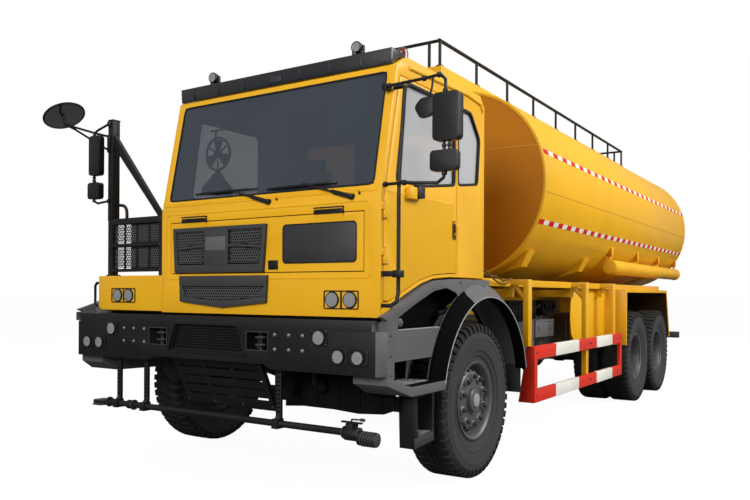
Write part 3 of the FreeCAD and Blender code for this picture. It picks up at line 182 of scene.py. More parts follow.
def eased(outline: Iterable[Point], radius: float, steps: int = 3) -> Outline:
    """An outline with each corner rounded over a length on both its runs.

    Args:
        outline: the corners in order.
        radius: how far from the corner its rounding starts.
        steps: straight runs in each corner.

    Returns:
        The rounded outline.
    """
    corners = [Vector(p) for p in outline]
    count = len(corners)
    points: Outline = []
    for i, here in enumerate(corners):
        before, after = corners[i - 1] - here, corners[(i + 1) % count] - here
        a = here + before.normalized() * min(radius, before.length * CORNER_SHARE)
        b = here + after.normalized() * min(radius, after.length * CORNER_SHARE)
        for step in range(steps + 1):
            points.append(tuple(curved(a, here, b, step / steps)))
    return points


def inset(outline: Outline, depth: float) -> Outline:
    """An anticlockwise outline moved inwards by a depth, with as many points."""
    count = len(outline)
    points: Outline = []
    for i in range(count):
        a, b, c = Vector(outline[i - 1]), Vector(outline[i]), Vector(outline[(i + 1) % count])
        first, last = (b - a), (c - b)
        if first.length < TINY or last.length < TINY:
            points.append(tuple(b))
            continue
        n1 = Vector((-first.y, first.x)).normalized()
        n2 = Vector((-last.y, last.x)).normalized()
        way = (n1 + n2).normalized()
        p = b + way * (depth / max(0.35, way.dot(n1)))
        points.append((p.x, p.y))
    return points


def band(low: float, high: float, inner: float, outer: float) -> Outline:
    """The section of a ring round an axis: how far along it lies and its two radii."""
    return [(low, inner), (low, outer), (high, outer), (high, inner)]


def drum(height: float, radius: float) -> Outline:
    """The section of a disc with square edges."""
    return [(0, 0), (0, radius), (height, radius), (height, 0)]


def knob(radius: float, straight: float, height: float, top: float) -> Outline:
    """The section of a head: straight up its side, then in to the top's radius."""
    return [(0, 0), (0, radius), (straight, radius), (height, top), (height, 0)]


def span(side: int, low: float, high: float) -> list[float]:
    """A stretch across the vehicle, (low, high), on the side given by a sign."""
    return sorted((low * side, high * side))


# ---------------------------------------------------------------- meshes
class Shape:
    """A mesh under construction, in millimetres from the front axle."""

    def __init__(self, frame: Frame) -> None:
        self.frame = frame
        self.bm = bmesh.new()

    @staticmethod
    def _spot(plane: Plane, a: float, b: float, t: float) -> Point:
        """A point from its two sizes in a plane and the third across it."""
        if callable(plane):
            return plane(a, b, t)
        return {"yz": (t, a, b), "xz": (a, t, b), "xy": (a, b, t)}[plane]

    def prism(self, plane: Plane, outline: Iterable[Point], low: float, high: float) -> Shape:
        """Adds an outline carried from low to high across its plane: "xy", "xz", "yz" or a placing rule."""
        rings = [[self.bm.verts.new(self._spot(plane, p[0], p[1], t)) for p in outline] for t in (low, high)]
        self._bridge(*rings)
        for ring in rings:
            self.bm.faces.new(ring)
        return self

    def rim(self, plane: Plane, outer: Outline, inner: Outline, low: float, high: float) -> Shape:
        """Adds a frame between two outlines of as many points, carried from low to high."""
        loops = [
            [self.bm.verts.new(self._spot(plane, p[0], p[1], t)) for p in line]
            for t in (low, high)
            for line in (outer, inner)
        ]
        for first, last in ((0, 1), (1, 3), (3, 2), (2, 0)):
            self._bridge(loops[first], loops[last])
        return self

    def box(self, x: Point, y: Point, z: Point) -> Shape:
        """Adds a block from its (low, high) along each axis."""
        return self.prism("xy", [(x[0], y[0]), (x[1], y[0]), (x[1], y[1]), (x[0], y[1])], z[0], z[1])

    def _bridge(self, first: list, last: list) -> None:
        """Joins two rings of as many vertices with faces."""
        count = len(first)
        for i in range(count):
            j = (i + 1) % count
            self.bm.faces.new((first[i], first[j], last[j], last[i]))

    def lathe(
        self, section: Iterable[Point], centre: Point, axis: Point, steps: int = 40, closed: bool = False
    ) -> Shape:
        """Adds a section of (along, radius) points turned about an axis.

        Args:
            section: the points, along the axis from the centre and out from it.
            centre: where the axis starts.
            axis: its direction.
            steps: faces round it.
            closed: whether the section's last point joins its first.

        Returns:
            The shape.
        """
        turn = Vector((0, 0, 1)).rotation_difference(Vector(axis)).to_matrix()
        middle = Vector(centre)
        rings = []
        for along, radius in section:
            if radius < TINY:
                rings.append([self.bm.verts.new(middle + turn @ Vector((0, 0, along)))])
                continue
            rings.append([
                self.bm.verts.new(
                    middle + turn @ Vector((radius * math.cos(a), radius * math.sin(a), along))
                )
                for a in (math.tau * i / steps for i in range(steps))
            ])
        pairs = list(zip(rings, rings[1:]))
        if closed:
            pairs.append((rings[-1], rings[0]))
        for first, last in pairs:
            if len(first) == 1 and len(last) == 1:
                continue
            if len(first) == 1 or len(last) == 1:
                tip, ring = (first[0], last) if len(first) == 1 else (last[0], first)
                for i in range(steps):
                    self.bm.faces.new((tip, ring[i], ring[(i + 1) % steps]))
            else:
                self._bridge(first, last)
        if not closed:
            for ring in (rings[0], rings[-1]):
                if len(ring) > 1:
                    self.bm.faces.new(ring)
        return self

    def rod(self, start: Point, end: Point, radius: float, sides: int = 20, ease: float = 0.0) -> Shape:
        """Adds a round bar between two points, its ends eased by a small chamfer."""
        way = Vector(end) - Vector(start)
        length = way.length
        section = [(0, radius), (length, radius)]
        if ease:
            section = [(0, radius - ease), (ease, radius), (length - ease, radius), (length, radius - ease)]
        return self.lathe(section, start, way, sides)

    def tube(self, points: Iterable[Point], radius: float, bend: float = 45.0, sides: int = 14) -> Shape:
        """Adds a round tube through points, with each corner bent to an arc.

        Args:
            points: the corners of its path.
            radius: the tube's radius.
            bend: how far from a corner its bend starts.
            sides: faces round it.

        Returns:
            The shape.
        """
        corners = [Vector(p) for p in points]
        path = [corners[0]]
        for before, here, after in zip(corners, corners[1:], corners[2:]):
            a = here + (before - here).normalized() * min(bend, (before - here).length * BEND_SHARE)
            b = here + (after - here).normalized() * min(bend, (after - here).length * BEND_SHARE)
            path += [curved(a, here, b, t) for t in (0, 0.2, 0.4, 0.6, 0.8, 1)]
        path.append(corners[-1])
        way = (path[1] - path[0]).normalized()
        across = way.orthogonal().normalized()
        rings = []
        for i, spot in enumerate(path):
            nearby = path[min(i + 1, len(path) - 1)] - path[max(i - 1, 0)]
            new_way = nearby.normalized()
            across = (way.rotation_difference(new_way).to_matrix() @ across).normalized()
            way = new_way
            over = way.cross(across)
            rings.append([
                self.bm.verts.new(spot + (across * math.cos(a) + over * math.sin(a)) * radius)
                for a in (math.tau * k / sides for k in range(sides))
            ])
        for first, last in zip(rings, rings[1:]):
            self._bridge(first, last)
        self.bm.faces.new(rings[0])
        self.bm.faces.new(rings[-1])
        return self

    def loft(self, rings: Iterable[Iterable[Point]], capped: bool = True) -> Shape:
        """Adds a skin over rings of as many points, in order."""
        made = [[self.bm.verts.new(p) for p in ring] for ring in rings]
        for first, last in zip(made, made[1:]):
            self._bridge(first, last)
        if capped:
            self.bm.faces.new(made[0])
            self.bm.faces.new(made[-1])
        return self

    def mirror(self) -> Shape:
        """Adds the same mesh on the vehicle's other side."""
        copied = bmesh.ops.duplicate(self.bm, geom=self.bm.verts[:] + self.bm.edges[:] + self.bm.faces[:])
        for item in copied["geom"]:
            if isinstance(item, bmesh.types.BMVert):
                item.co.y = -item.co.y
        return self

    def move(self, by: Point) -> Shape:
        """Moves all that the shape holds so far."""
        bmesh.ops.translate(self.bm, vec=Vector(by), verts=self.bm.verts[:])
        return self

    def turn(self, degrees: float, axis: Point, about: Point = (0, 0, 0)) -> Shape:
        """Turns all that the shape holds so far."""
        spin = Matrix.Rotation(math.radians(degrees), 3, Vector(axis))
        bmesh.ops.rotate(self.bm, cent=Vector(about), matrix=spin, verts=self.bm.verts[:])
        return self

    def mesh(
        self, name: str, ease: float = 0.0, steps: int = 2, flat: float = FLAT_DEG, placed: bool = True
    ) -> bpy.types.Mesh:
        """Turns the shape into a mesh.

        Args:
            name: the mesh's name.
            ease: the width of the round on its sharp edges, or 0 for none.
            steps: runs in each round.
            flat: the angle between faces over which an edge stays sharp.
            placed: whether it goes to its place on the vehicle, or stays round the origin.

        Returns:
            The mesh, in metres.
        """
        bm = self.bm.copy()
        bmesh.ops.recalc_face_normals(bm, faces=bm.faces[:])
        if ease:
            edges = [
                e
                for e in bm.edges
                if e.is_manifold and e.calc_face_angle(0) > math.radians(ROUND_OVER_DEG)
            ]
            bmesh.ops.bevel(
                bm, geom=edges, offset=ease, segments=steps, profile=0.5, affect="EDGES", clamp_overlap=True
            )
        for vert in bm.verts:
            vert.co = self.frame.place(*vert.co) if placed else vert.co * MM
        made = bpy.data.meshes.new(name)
        bm.to_mesh(made)
        bm.free()
        smooth(made, flat)
        return made

    def piece(
        self,
        name: str,
        finish: Finish,
        body: str = "chassis",
        node: str | None = None,
        ease: float = 0.0,
        steps: int = 2,
        flat: float = FLAT_DEG,
    ) -> bpy.types.Object:
        """Finishes the shape as a piece of the vehicle.

        Args:
            name: the piece's name.
            finish: its finish.
            body: the body it moves with.
            node: the CAD node that it stands for, which it hides.
            ease: the width of the round on its sharp edges.
            steps: runs in each round.
            flat: the angle over which an edge stays sharp.

        Returns:
            The piece's object.
        """
        made = self.mesh(name, ease, steps, flat)
        made.materials.append(finish.material())
        return fitted(name, made, body, node)


def smooth(mesh: bpy.types.Mesh, flat: float) -> None:
    """Smooth shading but for edges sharper than an angle in degrees."""
    mesh.polygons.foreach_set("use_smooth", [True] * len(mesh.polygons))
    mesh.set_sharp_from_angle(angle=math.radians(flat))


def fitted(
    name: str, mesh: bpy.types.Mesh, body: str, node: str | None = None
) -> bpy.types.Object:
    """Puts a finished mesh on the vehicle and reports it.

    Args:
        name: the piece's name.
        mesh: its mesh, in metres at its place.
        body: the body it moves with.
        node: the CAD node that it stands for.

    Returns:
        The piece's object.
    """
    thing = linked(name, mesh)
    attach(thing, body)
    if node:
        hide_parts(node)
    LOG.info("%s: %d faces on %s", name, len(mesh.polygons), body)
    return thing


def softened(
    frame: Frame,
    node: str,
    finish: Finish,
    body: str = "chassis",
    ease: float = 6.0,
    steps: int = 2,
    lining: Finish | None = None,
    lined: Callable[[Vector, Vector], bool] | None = None,
    name: str | None = None,
    shaped: Callable[[Vector], Vector] | None = None,
) -> bpy.types.Object:
    """A copy of a CAD node with its sharp edges rounded, standing for the node.

    Args:
        frame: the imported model.
        node: the node to copy.
        finish: its finish.
        body: the body it moves with.
        ease: the width of the round, in millimetres.
        steps: runs in each round.
        lining: a second finish for some of its faces.
        lined: says from a face's middle (in millimetres from the front axle) and normal whether it is lined.
        name: the piece's name, or the node's with "_skin" behind it.
        shaped: moves each vertex before the rounding, in millimetres from the front axle.

    Returns:
        The piece's object.
    """
    name = name or f"{node}_skin"
    bm = bmesh.new()
    bm.from_mesh(frame.nodes[node].data)
    bmesh.ops.remove_doubles(bm, verts=bm.verts[:], dist=MERGE_M)
    bmesh.ops.dissolve_limit(bm, angle_limit=math.radians(COPLANAR_DEG), verts=bm.verts[:], edges=bm.edges[:])
    shift = Vector((frame.axle_x, 0, 0))
    if shaped:
        for vert in bm.verts:
            vert.co = shaped((vert.co - shift) / MM) * MM + shift
    mesh = bpy.data.meshes.new(name)
    bm.to_mesh(mesh)
    bm.free()
    mesh.materials.clear()
    mesh.materials.append(finish.material())
    holder = linked(f"{name}_raw", mesh)
    if ease:
        bevel = holder.modifiers.new("round", "BEVEL")
        bevel.width, bevel.segments = ease * MM, steps
        bevel.limit_method, bevel.angle_limit = "ANGLE", math.radians(ROUND_OVER_DEG)
        bevel.use_clamp_overlap = True
        bevel.harden_normals = False
    made = bpy.data.meshes.new_from_object(holder.evaluated_get(bpy.context.evaluated_depsgraph_get()))
    made.name = name
    bpy.data.objects.remove(holder)
    if lining and lined:
        made.materials.append(lining.material())
        for face in made.polygons:
            if lined((face.center - shift) / MM, face.normal):
                face.material_index = 1
    smooth(made, SKIN_FLAT_DEG)
    return fitted(name, made, body, node)


@dataclass(frozen=True)
class Work:
    """A sub-assembly of the vehicle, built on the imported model."""

    frame: Frame

    def shape(self) -> Shape:
        """A new empty shape."""
        return Shape(self.frame)

    def soften(self, node: str, finish: Finish, body: str = "chassis", **looks) -> None:
        """Rounds a CAD node's edges; the looks are those that softened() takes."""
        softened(self.frame, node, finish, body, **looks)


# ---------------------------------------------------------------- repeated shapes
class Repeat:
    """Geometry Nodes that set one small shape again and again: at given spots, or round an axle."""

    def __init__(self, frame: Frame) -> None:
        self.frame = frame
        self.at_spots = self._tree_at_spots()
        self.round_axle = self._tree_round_axle()

    @staticmethod
    def _tree(name: str, **inputs: str) -> TreeEnds:
        """A new geometry tree with an input of each given kind, and its group input and output nodes."""
        tree = bpy.data.node_groups.new(name, "GeometryNodeTree")
        for label, kind in inputs.items():
            tree.interface.new_socket(label, in_out="INPUT", socket_type=f"NodeSocket{kind}")
        tree.interface.new_socket("Geometry", in_out="OUTPUT", socket_type="NodeSocketGeometry")
        return tree, add_node(tree, "NodeGroupInput"), add_node(tree, "NodeGroupOutput")

    def _tree_at_spots(self) -> bpy.types.NodeTree:
        """Sets the cell on each vertex."""
        tree, start, end = self._tree("cells_at_spots", Geometry="Geometry", Cell="Object", Finish="Material")
        given = start.outputs
        cell = add_node(tree, "GeometryNodeObjectInfo", {"Object": given["Cell"]})
        links = {"Points": given["Geometry"], "Instance": cell.outputs["Geometry"]}
        stand = add_node(tree, "GeometryNodeInstanceOnPoints", links)
        self._close(tree, stand.outputs[0], given["Finish"], end)
        return tree

    def _tree_round_axle(self) -> bpy.types.NodeTree:
        """Sets the cell round an axle along y, evenly, the first one turned by the phase."""
        tree, start, end = self._tree(
            "cells_round_axle",
            Cell="Object",
            Count="Int",
            Phase="Float",
            Centre="Vector",
            Finish="Material",
        )
        given = start.outputs
        cell = add_node(tree, "GeometryNodeObjectInfo", {"Object": given["Cell"]})
        spots = add_node(tree, "GeometryNodePoints", {"Count": given["Count"]})
        index = add_node(tree, "GeometryNodeInputIndex")
        share = maths(tree, "DIVIDE", index.outputs[0], given["Count"])
        angle = maths(tree, "MULTIPLY_ADD", share, math.tau, given["Phase"])
        euler = add_node(tree, "ShaderNodeCombineXYZ", {"Y": angle})
        spin = add_node(tree, "FunctionNodeEulerToRotation", {0: euler.outputs[0]})
        links = {
            "Points": spots.outputs[0], "Instance": cell.outputs["Geometry"], "Rotation": spin.outputs[0]
        }
        stand = add_node(tree, "GeometryNodeInstanceOnPoints", links)
        links = {"Geometry": stand.outputs[0], "Translation": given["Centre"]}
        moved = add_node(tree, "GeometryNodeTransform", links)
        self._close(tree, moved.outputs[0], given["Finish"], end)
        return tree

    @staticmethod
    def _close(tree: bpy.types.NodeTree, source: Feed, finish: Feed, end: bpy.types.Node) -> None:
        """Ends a tree: instances made real, the finish set."""
        real = add_node(tree, "GeometryNodeRealizeInstances", {0: source})
        dressed = add_node(tree, "GeometryNodeSetMaterial", {"Geometry": real.outputs[0], "Material": finish})
        tree.links.new(dressed.outputs[0], end.inputs[0])

    def _result(
        self, name: str, host: bpy.types.Mesh, tree: bpy.types.NodeTree, cell: Shape, values: dict
    ) -> bpy.types.Mesh:
        """Runs a tree on a host mesh and returns the result as a plain mesh."""
        small = linked(f"{name}_cell", cell.mesh(f"{name}_cell", placed=False))
        thing = linked(f"{name}_host", host)
        modifier = thing.modifiers.new("repeat", "NODES")
        modifier.node_group = tree
        sockets = {s.name: s.identifier for s in tree.interface.items_tree if s.in_out == "INPUT"}
        for label, value in {"Cell": small, **values}.items():
            modifier[sockets[label]] = value
        made = bpy.data.meshes.new_from_object(thing.evaluated_get(bpy.context.evaluated_depsgraph_get()))
        made.name = name
        thing.modifiers.remove(modifier)
        bpy.data.objects.remove(thing)
        bpy.data.objects.remove(small)
        smooth(made, FLAT_DEG)
        return made

    def spots(
        self,
        name: str,
        cell: Shape,
        places: Iterable[Point],
        finish: Finish,
        body: str = "chassis",
    ) -> bpy.types.Object:
        """A piece of one cell set at many places.

        Args:
            name: the piece's name.
            cell: the shape to repeat, drawn round the origin in millimetres.
            places: where each one goes, in millimetres from the front axle.
            finish: the finish.
            body: the body it moves with.

        Returns:
            The piece's object.
        """
        host = bpy.data.meshes.new(f"{name}_spots")
        host.from_pydata([self.frame.place(*p) for p in places], [], [])
        return fitted(
            name, self._result(name, host, self.at_spots, cell, {"Finish": finish.material()}), body
        )

    def round(
        self,
        name: str,
        cell: Shape,
        centre: Point,
        count: int,
        finish: Finish,
        body: str,
        phase: float = 0.0,
    ) -> bpy.types.Object:
        """A piece of one cell set evenly round an axle along y.

        Args:
            name: the piece's name.
            cell: the shape to repeat, drawn round the origin in millimetres at the top of the circle.
            centre: the axle's middle, in millimetres from the front axle.
            count: how many there are.
            finish: the finish.
            body: the body it moves with.
            phase: the first one's turn, in degrees.

        Returns:
            The piece's object.
        """
        values = {
            "Count": count, "Phase": math.radians(phase), "Centre": self.frame.place(*centre),
            "Finish": finish.material(),
        }
        mesh = self._result(name, bpy.data.meshes.new(f"{name}_host"), self.round_axle, cell, values)
        return fitted(name, mesh, body)


# ---------------------------------------------------------------- materials
def linear(code: str) -> tuple[float, float, float, float]:
    """A sRGB hex colour as the linear values that a shader takes."""
    shares = [int(code[i : i + 2], 16) / 255 for i in (1, 3, 5)]
    return tuple(c / 12.92 if c <= 0.04045 else ((c + 0.055) / 1.055) ** 2.4 for c in shares) + (1.0,)


def add_node(tree: bpy.types.NodeTree, kind: str, links: dict | None = None, **settings) -> bpy.types.Node:
    """Adds a node with its links, values and settings.

    Args:
        tree: the node tree.
        kind: the node's type.
        links: for each input, by name or number, a socket to link or a value to set.
        settings: the node's own properties.

    Returns:
        The node.
    """
    node = tree.nodes.new(kind)
    for key, value in settings.items():
        setattr(node, key, value)
    for key, value in (links or {}).items():
        if isinstance(value, bpy.types.NodeSocket):
            tree.links.new(value, node.inputs[key])
        else:
            node.inputs[key].default_value = value
    return node


def maths(tree: bpy.types.NodeTree, operation: str, *values: Feed) -> bpy.types.NodeSocket:
    """Adds a maths node and returns its value."""
    return add_node(tree, "ShaderNodeMath", dict(enumerate(values)), operation=operation).outputs[0]


def noise(tree: bpy.types.NodeTree, where: Feed, scale: float, detail: float, rough: float = 0.5) -> Feed:
    """Adds a noise texture and returns its value."""
    links = {"Vector": where, "Scale": scale, "Detail": detail, "Roughness": rough}
    return add_node(tree, "ShaderNodeTexNoise", links).outputs["Fac"]


def spread(tree: bpy.types.NodeTree, value: Feed, start: Point, end: Point) -> Feed:
    """Adds a map from one (low, high) range to another, held inside it, and returns its value."""
    links = {"Value": value, "From Min": start[0], "From Max": start[1], "To Min": end[0], "To Max": end[1]}
    return add_node(tree, "ShaderNodeMapRange", links).outputs["Result"]


def blend(tree: bpy.types.NodeTree, share: Feed, first: Feed, last: Feed) -> Feed:
    """Adds a mix of two colours and returns its colour."""
    return add_node(tree, "ShaderNodeMix", {0: share, 6: first, 7: last}, data_type="RGBA").outputs[2]


def new_material(name: str) -> tuple[bpy.types.Material, bpy.types.NodeTree, bpy.types.NodeInputs]:
    """A new material with its node tree and its shader's inputs."""
    made = bpy.data.materials.new(name)
    made.use_nodes = True
    return made, made.node_tree, made.node_tree.nodes["Principled BSDF"].inputs


def linked(name: str, data: bpy.types.ID) -> bpy.types.Object:
    """An object with given data, put in the scene."""
    thing = bpy.data.objects.new(name, data)
    bpy.context.scene.collection.objects.link(thing)
    return thing


def ramp(tree: bpy.types.NodeTree, source: bpy.types.NodeSocket, stops: Iterable[tuple]) -> bpy.types.Node:
    """Adds a colour ramp.

    Args:
        tree: the node tree.
        source: the socket that drives it.
        stops: (position, linear colour) pairs in rising order.

    Returns:
        The ramp node.
    """
    node = add_node(tree, "ShaderNodeValToRGB", {0: source})
    elements = node.color_ramp.elements
    stops = list(stops)
    while len(elements) < len(stops):
        elements.new(0.5)
    for element, (position, colour) in zip(elements, stops):
        element.position, element.color = position, colour
    return node


@dataclass(frozen=True)
class Surface:
    """A solid finish: a base colour that drifts, a skin texture, dust in patches and scuffs."""

    name: str
    colour: str
    roughness: float = 0.5
    metallic: float = 0.0
    coat: float = 0.0
    specular: float = 0.5
    drift: float = 0.06
    drift_mm: float = 600.0
    skin_mm: float = 6.0
    skin: float = 0.15
    skin_depth_mm: float = 0.3
    dust: float = 0.0
    dust_colour: str = "#8d8474"
    dust_mm: float = 220.0
    wear: float = 0.0
    wear_colour: str = "#5e5b55"

    def material(self) -> bpy.types.Material:
        """Returns the finish as a Blender material, made once."""
        found = bpy.data.materials.get(self.name)
        if found:
            return found
        made, tree, inputs = new_material(self.name)
        inputs["Metallic"].default_value = self.metallic
        inputs["Coat Weight"].default_value = self.coat
        inputs["Coat Roughness"].default_value = 0.1
        inputs["Specular IOR Level"].default_value = self.specular
        where = add_node(tree, "ShaderNodeTexCoord").outputs["Object"]
        wide = noise(tree, where, 1000 / self.drift_mm, 3.0, 0.6)
        base = linear(self.colour)
        low = tuple(c * (1 - self.drift) for c in base[:3]) + (1.0,)
        high = tuple(min(1.0, c * (1 + self.drift)) for c in base[:3]) + (1.0,)
        tone = ramp(tree, wide, [(0.32, low), (0.68, high)]).outputs["Color"]
        if self.dust:
            tone = self._dusted(tree, where, tone)
        if self.wear:
            tone = self._worn(tree, where, tone)
        tree.links.new(tone, inputs["Base Color"])
        rough = (max(0.0, self.roughness - 0.06), min(1.0, self.roughness + 0.06))
        tree.links.new(spread(tree, wide, (0.3, 0.7), rough), inputs["Roughness"])
        fine = noise(tree, where, 1000 / self.skin_mm, 2.0)
        links = {"Strength": self.skin, "Distance": self.skin_depth_mm * MM, "Height": fine}
        tree.links.new(add_node(tree, "ShaderNodeBump", links).outputs["Normal"], inputs["Normal"])
        return made

    def _dusted(self, tree: bpy.types.NodeTree, where: Feed, tone: Feed) -> Feed:
        """Mixes dust over the colour: more where the face looks up, in soft patches."""
        normal = add_node(tree, "ShaderNodeNewGeometry").outputs["Normal"]
        up = add_node(tree, "ShaderNodeSeparateXYZ", {0: normal}).outputs["Z"]
        patch = noise(tree, where, 1000 / self.dust_mm, 5.0, 0.7)
        amount = maths(tree, "MULTIPLY", patch, spread(tree, up, (-0.4, 1.0), (0.25, 1.0)))
        share = spread(tree, amount, (0.12, 0.7), (0.0, self.dust))
        return blend(tree, share, tone, linear(self.dust_colour))

    def _worn(self, tree: bpy.types.NodeTree, where: Feed, tone: Feed) -> Feed:
        """Mixes sparse long scuffs in, where the paint has been rubbed."""
        lay = add_node(tree, "ShaderNodeMapping", {"Vector": where, "Scale": (9.0, 30.0, 55.0)})
        marks = noise(tree, lay.outputs[0], 1.0, 6.0, 0.75)
        share = spread(tree, marks, (0.66, 0.74), (0.0, self.wear))
        return blend(tree, share, tone, linear(self.wear_colour))


@dataclass(frozen=True)
class Pane:
    """Glass or clear plastic seen as one thin tinted sheet: what is behind shows through the tint."""

    name: str
    colour: str
    opacity: float
    roughness: float = 0.03

    def material(self) -> bpy.types.Material:
        """Returns the glass as a Blender material, made once."""
        found = bpy.data.materials.get(self.name)
        if found:
            return found
        made, tree, inputs = new_material(self.name)
        inputs["Coat Weight"].default_value = 0.6
        inputs["Coat Roughness"].default_value = 0.02
        inputs["IOR"].default_value = 1.5
        inputs["Roughness"].default_value = self.roughness
        inputs["Alpha"].default_value = self.opacity
        base = linear(self.colour)
        dim = tuple(c * 0.85 for c in base[:3]) + (1.0,)
        wide = noise(tree, add_node(tree, "ShaderNodeTexCoord").outputs["Object"], 1.4, 2.0)
        tree.links.new(ramp(tree, wide, [(0.3, dim), (0.7, base)]).outputs["Color"], inputs["Base Color"])
        return made


class Finishes:
    """Every finish of the vehicle, named for what the real one is; the finishes that paint shade or highlight
    are named for that.
    """

    # two-pack enamel sprayed on steel sheet: even and clean, with a soft gloss and a fine orange peel
    enamel = Surface(
        "yellow_enamel", "#f0b31c", roughness=0.42, coat=0.12, specular=0.25, skin_mm=9, skin=0.05,
        drift=0.03, dust=0.05, wear=0.25,
    )
    # the same enamel on rolled tank plate: a longer orange peel and slight waves
    tank_enamel = Surface(
        "tank_enamel", "#e3a915", roughness=0.45, coat=0.1, specular=0.22, skin_mm=14, skin=0.07,
        drift=0.04, dust=0.06, wear=0.2,
    )
    # powder coat on folded steel: dark, satin, slightly pebbled
    powder = Surface(
        "black_powder_coat", "#161617", roughness=0.5, specular=0.3, skin_mm=3, skin=0.25, drift=0.1,
        dust=0.03, wear=0.3,
    )
    # black chassis paint on rolled sections, dusty from the road
    chassis = Surface(
        "chassis_paint", "#121212", roughness=0.55, specular=0.3, skin_mm=8, skin=0.3, drift=0.15,
        dust=0.18, wear=0.3,
    )
    # rough castings under the same paint
    casting = Surface(
        "cast_steel", "#1f1f1f", roughness=0.65, specular=0.3, skin_mm=5, skin=0.6, drift=0.2, dust=0.2,
        wear=0.3,
    )
    # moulded polypropylene with a fine grain
    moulding = Surface(
        "grey_moulding", "#5d5d5f", roughness=0.6, specular=0.3, skin_mm=2.5, skin=0.35, drift=0.06,
        dust=0.1,
    )
    # a lighter copy of the moulding: painted highlight on lips, ledges and the studs of tread plates, where
    # they catch the light
    moulding_lit = Surface(
        "worn_moulding", "#9a9a99", roughness=0.5, specular=0.35, skin_mm=3, skin=0.3, drift=0.08, dust=0.08
    )
    # the faces under and inside the rear mudguards, painted dark brown
    under_wing = Surface(
        "soiled_paint", "#40290b", roughness=0.8, specular=0.2, skin_mm=8, skin=0.4, drift=0.25, dust=0.2
    )
    # weld beads under enamel: a duller yellow line that catches the light unevenly
    weld = Surface("painted_weld", "#c98c17", roughness=0.5, specular=0.25, skin_mm=6, skin=0.6, drift=0.1)
    # brown rubber air hose
    hose = Surface("brown_hose", "#6b4a1c", roughness=0.6, specular=0.25, skin_mm=3, skin=0.2, drift=0.1)
    # moulded grille frames: darker than the bumper, with the same fine grain
    grille = Surface(
        "grille_moulding", "#3c3c3d", roughness=0.55, specular=0.3, skin_mm=2.5, skin=0.25, drift=0.05
    )
    # black polypropylene: a soft sheen on lamp rings, mirrors and covers
    black_plastic = Surface(
        "black_plastic", "#151516", roughness=0.42, specular=0.35, skin_mm=2.0, skin=0.2, drift=0.05
    )
    # near-black painted shade: behind perforations, in holes and gaps, and on the wings' dark faces, where
    # hardly any light comes back
    hollow = Surface("dark_hollow", "#060606", roughness=0.9, specular=0.05, skin_mm=5, drift=0.05)
    # tyre carcass rubber: dull black that hardly shines at all
    rubber = Surface(
        "tyre_rubber", "#0e0e0e", roughness=0.95, specular=0.02, skin_mm=4, skin=0.4, drift=0.12,
        dust=0.012, dust_mm=140,
    )
    # black paint on the pressed rims: flat, with rubbed edges
    rim = Surface(
        "rim_paint", "#0c0c0d", roughness=0.7, specular=0.04, metallic=0.0, skin_mm=5, skin=0.3, drift=0.1,
        dust=0.01, wear=0.3,
    )
    # frame parts under the body, near black: painted shade under the body, with a little dust
    sooty = Surface(
        "sooty_frame_paint", "#0b0b0b", roughness=0.85, specular=0.1, skin_mm=6, skin=0.4, drift=0.15,
        dust=0.03,
    )
    # the same rubber in grey on the tread lugs: partly scrubbed wear, partly painted highlight where the lugs
    # catch the light
    worn_rubber = Surface(
        "worn_rubber", "#262626", roughness=0.9, specular=0.12, skin_mm=4, skin=0.5, drift=0.2, dust=0.15,
        dust_mm=140,
    )
    # tank heads painted darker and browner than the shell: painted shade, where the heads lie out of the
    # light behind the cab, with a little dust
    head_enamel = Surface(
        "dusty_enamel", "#b87006", roughness=0.6, coat=0.0, specular=0.12, skin_mm=14, skin=0.07,
        drift=0.06, dust=0.08,
    )
    # grey wheel clamps and hub caps, duller than bare steel
    clamp = Surface(
        "grey_hub_paint", "#a5a39d", roughness=0.5, metallic=0.3, skin_mm=5, skin=0.4, drift=0.12, dust=0.15
    )
    # red gloss paint on the side guards: even, with a soft shine
    red = Surface(
        "red_gloss_paint", "#d92a14", roughness=0.4, coat=0.15, specular=0.25, skin_mm=9, skin=0.05,
        drift=0.03, dust=0.05,
    )
    # white gloss paint of the guards' blocks: slightly creamy
    white = Surface(
        "white_gloss_paint", "#e9e5da", roughness=0.45, coat=0.1, skin_mm=9, skin=0.05, drift=0.03,
        dust=0.05,
    )
    # red reflective tape: a flat strong red with a fine cell pattern
    red_tape = Surface(
        "red_reflective_tape", "#d0180f", roughness=0.5, coat=0.05, specular=0.2, skin_mm=2, skin=0.4,
        drift=0.05,
    )
    # white reflective tape: a flat warm white with the same cells
    white_tape = Surface(
        "white_reflective_tape", "#e6e2d6", roughness=0.5, coat=0.05, specular=0.2, skin_mm=2, skin=0.4,
        drift=0.05,
    )
    # woven seat cloth: dark and matt
    cloth = Surface("seat_cloth", "#2a2827", roughness=0.9, specular=0.2, skin_mm=2.2, skin=0.6, drift=0.08)
    # soft grip plastic of the steering wheel: matt, with a leather grain
    wheel_rim = Surface("soft_grip_plastic", "#121212", roughness=0.6, skin_mm=1.5, skin=0.5, drift=0.05)
    # cab lining: dark grey moulded plastic and felt
    trim = Surface("cab_lining", "#33363a", roughness=0.8, specular=0.2, skin_mm=3, skin=0.4, drift=0.08)
    # extruded rubber round the glass
    seal = Surface("window_rubber", "#0d0e10", roughness=0.55, specular=0.3, skin_mm=4, skin=0.2, drift=0.08)
    # dark brown ring round the door handle: painted shade of the handle's recess
    dark_trim = Surface(
        "handle_trim", "#2a1c10", roughness=0.45, specular=0.3, skin_mm=2, skin=0.2, drift=0.06
    )
    # dark grey blank plates with a brushed satin face
    plate = Surface("blank_plate", "#303133", roughness=0.45, metallic=0.2, skin_mm=3, skin=0.2, drift=0.06)
    # smoked acrylic of the sun visor, glossy and nearly black with a blue cast
    visor = Surface(
        "smoked_acrylic", "#12151b", roughness=0.3, coat=0.5, specular=0.5, skin_mm=40, skin=0.03,
        drift=0.08,
    )
    # bright fasteners, zinc plated
    zinc = Surface(
        "zinc_plated_steel", "#8f8b82", roughness=0.4, metallic=0.8, skin_mm=3, skin=0.2, drift=0.1
    )
